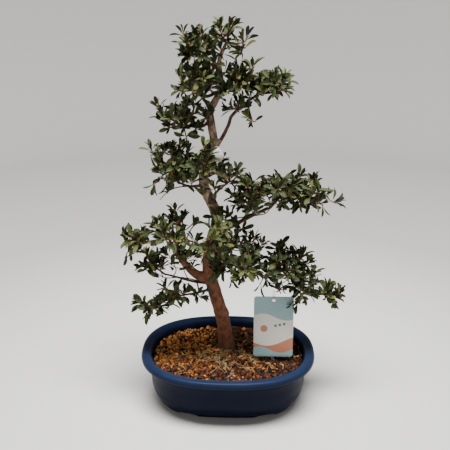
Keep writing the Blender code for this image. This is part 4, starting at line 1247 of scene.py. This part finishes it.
def whorl(rng, tip, axis, lobes, youth, leaves, buds, lone=False, hangs=False):
    # Leaves round a shoot tip, older and longer ones lowest, and a bud in the middle.
    values = {**leafing, **hanging} if hangs else leafing
    leans = values["lean"]
    lobe = lobes[np.argmin(norm((tip - lobes[:, :3]) / lobes[:, 3:], axis=1))]
    outward = values["outward"] * (tip - lobe[:3]) / lobe[3:]
    upward = values["forward"] * axis + outward + np.array([0, 0, values["rise"]])
    upward = unit(upward + rng.normal(size=3) * leafing["wobble"])
    side, front = frameTowards(upward, unit(rng.normal(size=3)))
    turn = rng.uniform(0, 2 * math.pi)
    count = int(rng.integers(*values["perTip"], endpoint=True))
    common, dark, young = (np.array(leafing[mix]) for mix in ("toneMix", "shadedMix", "youthMix"))
    tone = rng.choice(len(common), p=common + ramp(tip[0], *leafing["shadedFrom"]) * dark + youth * young)
    size = rng.uniform(*leafing["sizes"])
    for k in range(count + (rng.random() < values["older"])):
        share = k / max(count - 1, 1)
        angle = turn + k * goldenTurn
        lean = np.interp(share, [0, 1], leans) + rng.normal() * leafing["jitter"]
        if k == count:
            share, lean = 0.0, leans[0] + rng.uniform(*leafing["olderLean"])
        lean = math.radians(lean)
        out = math.cos(angle) * side + math.sin(angle) * front
        direction = unit(math.cos(lean) * upward + math.sin(lean) * out)
        root = tip - axis * leafing["step"] * (count - k if k < count else count + 3)
        length = size * np.interp(share, [0, 1], values["lengths"]) * rng.uniform(*leafing["ownLength"])
        addLeaf(rng, leaves, root, direction, upward, length, tone, lobes, lone)
    scale = np.array(twigging["bud"]) * rng.uniform(*twigging["budSizes"]) * mm
    buds.append(placing(side, front, upward, scale, inMetres(tip + upward)))


def growMass(rng, mass, leaves, buds):
    # Its stem and its twigs, with leaves round each tip and at the stem's own end.
    stem, stemRadius = stemCourse(mass)
    tips = []
    for depth, spacings, throws in growth["rounds"]:
        throwTips(rng, mass, tips, depth, spacings, throws)
    nodes, twigs = growTwigs(rng, tips, stem, mass)
    youth = leafing["youth"].get(mass, leafing["leastYouth"])
    for course in [twig[0] for twig in twigs] + [stem]:
        whorl(rng, course[-1], unit(course[-1] - course[-2]), lobesOf[mass], youth, leaves, buds)
    return twigLimbs(nodes, twigs, stem, stemRadius)


def growShoots(grown, leaves, buds):
    # Each lone shoot starts from the nearest wood, be it limb or twig.
    rng = np.random.default_rng(growth["seed"] + 100)
    wood = np.concatenate([course[:-1] for course, _ in [*limbs.values(), *grown]])
    courses = []
    for number, place in enumerate(shoots + droopingShoots):
        tip, hangs = np.array(place, float), number >= len(shoots)
        start = wood[np.argmin(norm(wood - tip, axis=1))]
        away = norm(tip - start)
        knee = (start + tip) / 2 - np.array([0, 0, shooting["sag"] * away])
        course = smoothCourse([start, knee, tip], 4)
        courses.append((course, np.linspace(*shooting["radii"], len(course))))
        room = np.array([[*tip, *[shooting["room"]] * 3]])
        whorl(rng, tip, unit(course[-1] - course[-3]), room, shooting["youth"], leaves, buds, True, hangs)
    return courses


def leafFinish(name, upper, under):
    material, tree, shader, place = newFinish(name, Specular_IOR_Level=0.28)
    leafMap = addNode(tree, "UVMap", uv_map="UVMap").outputs[0]
    rib, stalk, margin, veins = effect(tree, "leafVeins", Vector=leafMap)
    patch = mottled(tree, place, *leafing["patches"])
    top = mixed(tree, patch, *(scaled(upper, share) for share in leafing["patchTones"]))
    for mask, (share, tone) in ((rib, leafing["rib"]), (margin, leafing["margin"])):
        top = mixed(tree, times(tree, mask, share), top, scaled(upper, tone))
    back = addNode(tree, "NewGeometry").outputs["Backfacing"]
    share, tone = leafing["stalk"]
    colour = mixed(tree, times(tree, stalk, share), mixed(tree, back, top, under), tone)
    rough = plus(tree, spread(tree, patch, 0, 1, *leafing["rough"]), times(tree, back, leafing["underRough"]))
    join(tree, shader, colour, rough, veins, *leafing["bump"])
    return material


def twigFinish(name, tones):
    material, tree, shader, place = newFinish(name, Specular_IOR_Level=0.35)
    streaks, _, height = effect(tree, "barkGrain", Vector=place, Scale=twigging["grain"])
    rough = spread(tree, streaks, 0, 1, *twigging["rough"])
    join(tree, shader, mixed(tree, streaks, *tones), rough, height, *twigging["bump"])
    return material


def makeBuds(places):
    bm = bmesh.new()
    bmesh.ops.create_uvsphere(bm, u_segments=6, v_segments=5, radius=1.0)
    for vertex in bm.verts:
        vertex.co.xy *= 1 - twigging["budTaper"] * vertex.co.z
    first = np.zeros(len(places), int)
    mesh = copiesOf("shootBuds", [meshFrom(bm, "bud")], np.array(places), first, first)
    finish = patchyFinish("leafBud", twigging["budTones"], twigging["budLook"], Specular_IOR_Level=0.4)
    addPiece("shootBuds", mesh, [finish])


def makeFoliage():
    stems, courses, leaves, buds = [], [], [], []
    for number, mass in enumerate(masses):
        stem, twigs = growMass(np.random.default_rng(growth["seed"] + number), mass, leaves, buds)
        stems.append(stem)
        courses += twigs
    for bends in bareTwigs:
        course = smoothCourse(bends, 4)
        stems.append((course, np.linspace(*shooting["bareRadii"], len(course))))
    courses += growShoots(stems + courses, leaves, buds)

    # The last part of each twig is this year's, and redder.
    old = [(course[:6], radii[:6]) for course, radii in courses]
    new = [(course[5:], radii[5:] * growth["newWood"]) for course, radii in courses]
    mesh = limbMesh("leafTwigs", stems + old, 1)
    addPiece("leafTwigs", mesh, [twigFinish("twigBark", twigging["old"])])
    mesh = limbMesh("youngShoots", new, 1)
    addPiece("youngShoots", mesh, [twigFinish("youngShoot", twigging["young"])])

    places, kinds, tones = (np.array(part) for part in zip(*leaves))
    finishes = [leafFinish(name, *pair) for name, pair in leafing["tones"].items()]
    mesh = copiesOf("azaleaLeaves", leafMasters(), places, kinds, tones)
    addPiece("azaleaLeaves", mesh, finishes, [f"foliage_{mass}" for mass in masses])
    makeBuds(buds)
    print(f"foliage ready: {len(courses)} twigs, {len(leaves)} leaves")


makeFoliage()


# The sealed pruning wound.
seal = dict(
    centre=(-13.5, -4.0, 352.5), half=(7.6, 6.6, 10.2), sides=(48, 32), lean=-16, narrow=0.14,
    dent=0.25, dentSize=260, tones=((0.82, 0.79, 0.77), (0.93, 0.91, 0.9)),
    look=dict(patches=(150.0, 4.0, 1.6), grains=900.0, rough=(0.55, 0.42), bump=(0.12, 0.0003)),
    # The seal's lower side is painted grey as shade.
    paintedShade=dict(heights=(0.344, 0.359), share=0.85, colour=(0.27, 0.23, 0.21)),
)


def makeSeal():
    across, upward = seal["sides"]
    bm = bmesh.new()
    bmesh.ops.create_uvsphere(bm, u_segments=across, v_segments=upward, radius=1.0)
    for vertex in bm.verts:
        vertex.co.xy *= 1 - seal["narrow"] * vertex.co.z
    bmesh.ops.scale(bm, verts=bm.verts, vec=Vector(seal["half"]) * mm)
    for vertex in bm.verts:
        vertex.co += vertex.co.normalized() * seal["dent"] * mm * noise.noise(vertex.co * seal["dentSize"])
    bmesh.ops.rotate(bm, verts=bm.verts, matrix=Matrix.Rotation(math.radians(seal["lean"]), 3, "Y"))
    bmesh.ops.translate(bm, verts=bm.verts, vec=Vector(inMetres(seal["centre"])))
    paste = patchyFinish(
        "woundPaste", seal["tones"], seal["look"], paintedShade=seal["paintedShade"], Coat_Weight=0.15, Coat_Roughness=0.3,
    )
    addPiece("woundSeal", meshFrom(bm, "woundSeal"), [paste], ["wound_seal"])
    print("seal ready")


makeSeal()


# The label card and its stake.
label = dict(
    size=(54, 86, 0.8), corner=4, foot=(62.5, -20, 70.9), lean=10, hole=4.4, holeFromTop=5, holeDepth=4,
    edge=0.15, edgeAngle=1.2, sharpAngle=40, patches=(220.0, 4.0, 1.5), fibres=1800.0,
    rough=(0.42, 0.52), bump=(0.08, 0.0002),
    stake=(4.5, 1.6), stakeAbove=7.5, stakeBelow=34, stakeAway=0.3, stakeBevel=0.4,
    peg=(3.8, 3.8, 3.6), pegBack=0.4, pegBevel=0.35,
    clear=((0.8, 0.82, 0.82), (0.93, 0.94, 0.94)), scuffs=800.0, clearPatches=(260.0, 3.0, 1.4),
    clearRough=(0.12, 0.3), clearBump=(0.1, 0.0002),
    cream=(0.69, 0.66, 0.61), teal=(0.27, 0.42, 0.44), terracotta=(0.42, 0.16, 0.09), ink=(0.1, 0.13, 0.13),
    wear={"cream": 0.93, "teal": 0.86}, stripes=150.0, stripeShare=0.45, stripeTone=1.35,
    blur=(0.006, 0.004, 0.012),
    # Waves from the top down: level, height, turns and start. Discs: place and radius in card widths.
    waves=[(0.66, 0.055, 5.2, 0.4), (0.605, 0.05, 5.2, 0.7), (0.27, 0.085, 3.6, 3.5), (0.12, 0.05, 6.0, 0.6)],
    hillDisc=(0.26, 0.47, 0.085), dots=[(0.55, 0.52, 0.03), (0.66, 0.535, 0.03), (0.77, 0.55, 0.03)],
)


def labelPlace():
    # The middle of the card, its local y running up the card.
    turn = Matrix.Rotation(math.pi / 2 - math.radians(label["lean"]), 4, "X")
    foot = Vector(inMetres(label["foot"]))
    middle = foot + turn.to_3x3() @ Vector((0, label["size"][1] / 2 * mm, 0))
    return Matrix.Translation(middle) @ turn


def waveOver(tree, across, upward, level, height, turns, start):
    # How far a place on the card is above a wave.
    ripple = sums(tree, "SINE", plus(tree, times(tree, across, turns), start))
    return minus(tree, upward, plus(tree, times(tree, ripple, height), level))


def discMask(tree, across, upward, x, y, radius):
    # Distances in card widths, so that a disc is round.
    tall = label["size"][1] / label["size"][0]
    offset = {0: minus(tree, across, x), 1: times(tree, minus(tree, upward, y), tall)}
    away = lengthOf(tree, addNode(tree, "CombineXYZ", offset).outputs[0])
    return spread(tree, away, radius, radius + label["blur"][2], 1.0, 0.0)


def cardFinish():
    # Cream ground, a teal wave over the top, a terracotta hill at the foot and a low row of dots.
    material, tree, shader, place = newFinish("printedCard", Coat_Weight=0.25, Coat_Roughness=0.22)
    across, upward, _ = axesOf(tree, addNode(tree, "UVMap", uv_map="UVMap").outputs[0])
    patch = mottled(tree, place, *label["patches"])
    ground, teal = (
        mixed(tree, patch, scaled(label[tone], share), label[tone]) for tone, share in label["wear"].items()
    )
    stripes = sums(tree, "SINE", times(tree, across, label["stripes"]))
    striped = spread(tree, stripes, -1, 1, 0.0, label["stripeShare"])
    clay = mixed(tree, striped, label["terracotta"], scaled(label["terracotta"], label["stripeTone"]))
    sky, rim, hill, shore = (waveOver(tree, across, upward, *wave) for wave in label["waves"])
    soft, crisp, _ = label["blur"]
    colour = mixed(tree, spread(tree, sky, 0.0, soft), ground, teal)
    for wave, blur, tone in ((rim, crisp, ground), (hill, soft, clay), (shore, soft, teal)):
        colour = mixed(tree, spread(tree, wave, -blur, 0.0, 1.0, 0.0), colour, tone)
    for disc, tone in [(label["hillDisc"], clay)] + [(dot, label["ink"]) for dot in label["dots"]]:
        colour = mixed(tree, discMask(tree, across, upward, *disc), colour, tone)
    fibres = effect(tree, "grit", Vector=place, Scale=label["fibres"])[0]
    join(tree, shader, colour, spread(tree, patch, 0, 1, *label["rough"]), fibres, *label["bump"])
    return material


def makeCard():
    width, height, thickness = (side * mm for side in label["size"])
    bm = bmesh.new()
    bmesh.ops.create_cube(bm, size=1.0)
    bmesh.ops.scale(bm, verts=bm.verts, vec=(width, height, thickness))
    corners = [edge for edge in bm.edges if abs((edge.verts[0].co - edge.verts[1].co).z) > thickness / 2]
    rounded(bm, corners, label["corner"] * mm, 8)
    card = pieceFrom(bm, "card")
    hole = [label[side] * mm for side in ("hole", "hole", "holeDepth")]
    centre = (0, height / 2 - label["holeFromTop"] * mm, 0)
    mesh = cutWith(card, "DIFFERENCE", [block("cardHole", hole, centre)])
    bm = bmesh.new()
    bm.from_mesh(mesh)
    bmesh.ops.dissolve_limit(bm, angle_limit=0.01, verts=bm.verts, edges=bm.edges)
    rims = [edge for edge in bm.edges if edge.calc_face_angle(0) > label["edgeAngle"]]
    rounded(bm, rims, label["edge"] * mm, 2)
    bmesh.ops.triangulate(bm, faces=[face for face in bm.faces if len(face.verts) > 4])
    layer = bm.loops.layers.uv.new("UVMap")
    for face in bm.faces:
        for loop in face.loops:
            loop[layer].uv = (loop.vert.co.x / width + 0.5, loop.vert.co.y / height + 0.5)
    bmesh.ops.transform(bm, verts=bm.verts, matrix=labelPlace())
    mesh = meshFrom(bm, "labelCard")
    addPiece("labelCard", mesh, [cardFinish()], ["label_card"], label["sharpAngle"])


def stakeFinish():
    material, tree, shader, place = newFinish(
        "clearStake", Transmission_Weight=0.85, IOR=1.49, Metallic=0.0, Coat_Weight=0.0,
    )
    colour = mixed(tree, mottled(tree, place, *label["clearPatches"]), *label["clear"])
    height, scuffs = effect(tree, "grit", Vector=place, Scale=label["scuffs"])
    join(tree, shader, colour, spread(tree, scuffs, 0, 1, *label["clearRough"]), height, *label["clearBump"])
    return material


def makeStake():
    # A flat blade behind the card, with a peg through the card's hole.
    width, thickness = (side * mm for side in label["stake"])
    top = label["size"][1] / 2 * mm
    low, high = -top - label["stakeBelow"] * mm, top + label["stakeAbove"] * mm
    back = -label["size"][2] / 2 * mm - label["stakeAway"] * mm - thickness / 2
    size, centre = (width, high - low, thickness), (0, (low + high) / 2, back)
    blade = block("blade", size, centre, label["stakeBevel"] * mm)
    centre = (0, top - label["holeFromTop"] * mm, -label["pegBack"] * mm)
    peg = block("peg", [side * mm for side in label["peg"]], centre, label["pegBevel"] * mm)
    mesh = cutWith(blade, "UNION", [peg])
    mesh.transform(labelPlace())
    addPiece("labelStake", mesh, [stakeFinish()], ["label_stake"], label["sharpAngle"])


makeCard()
makeStake()
print("label ready")
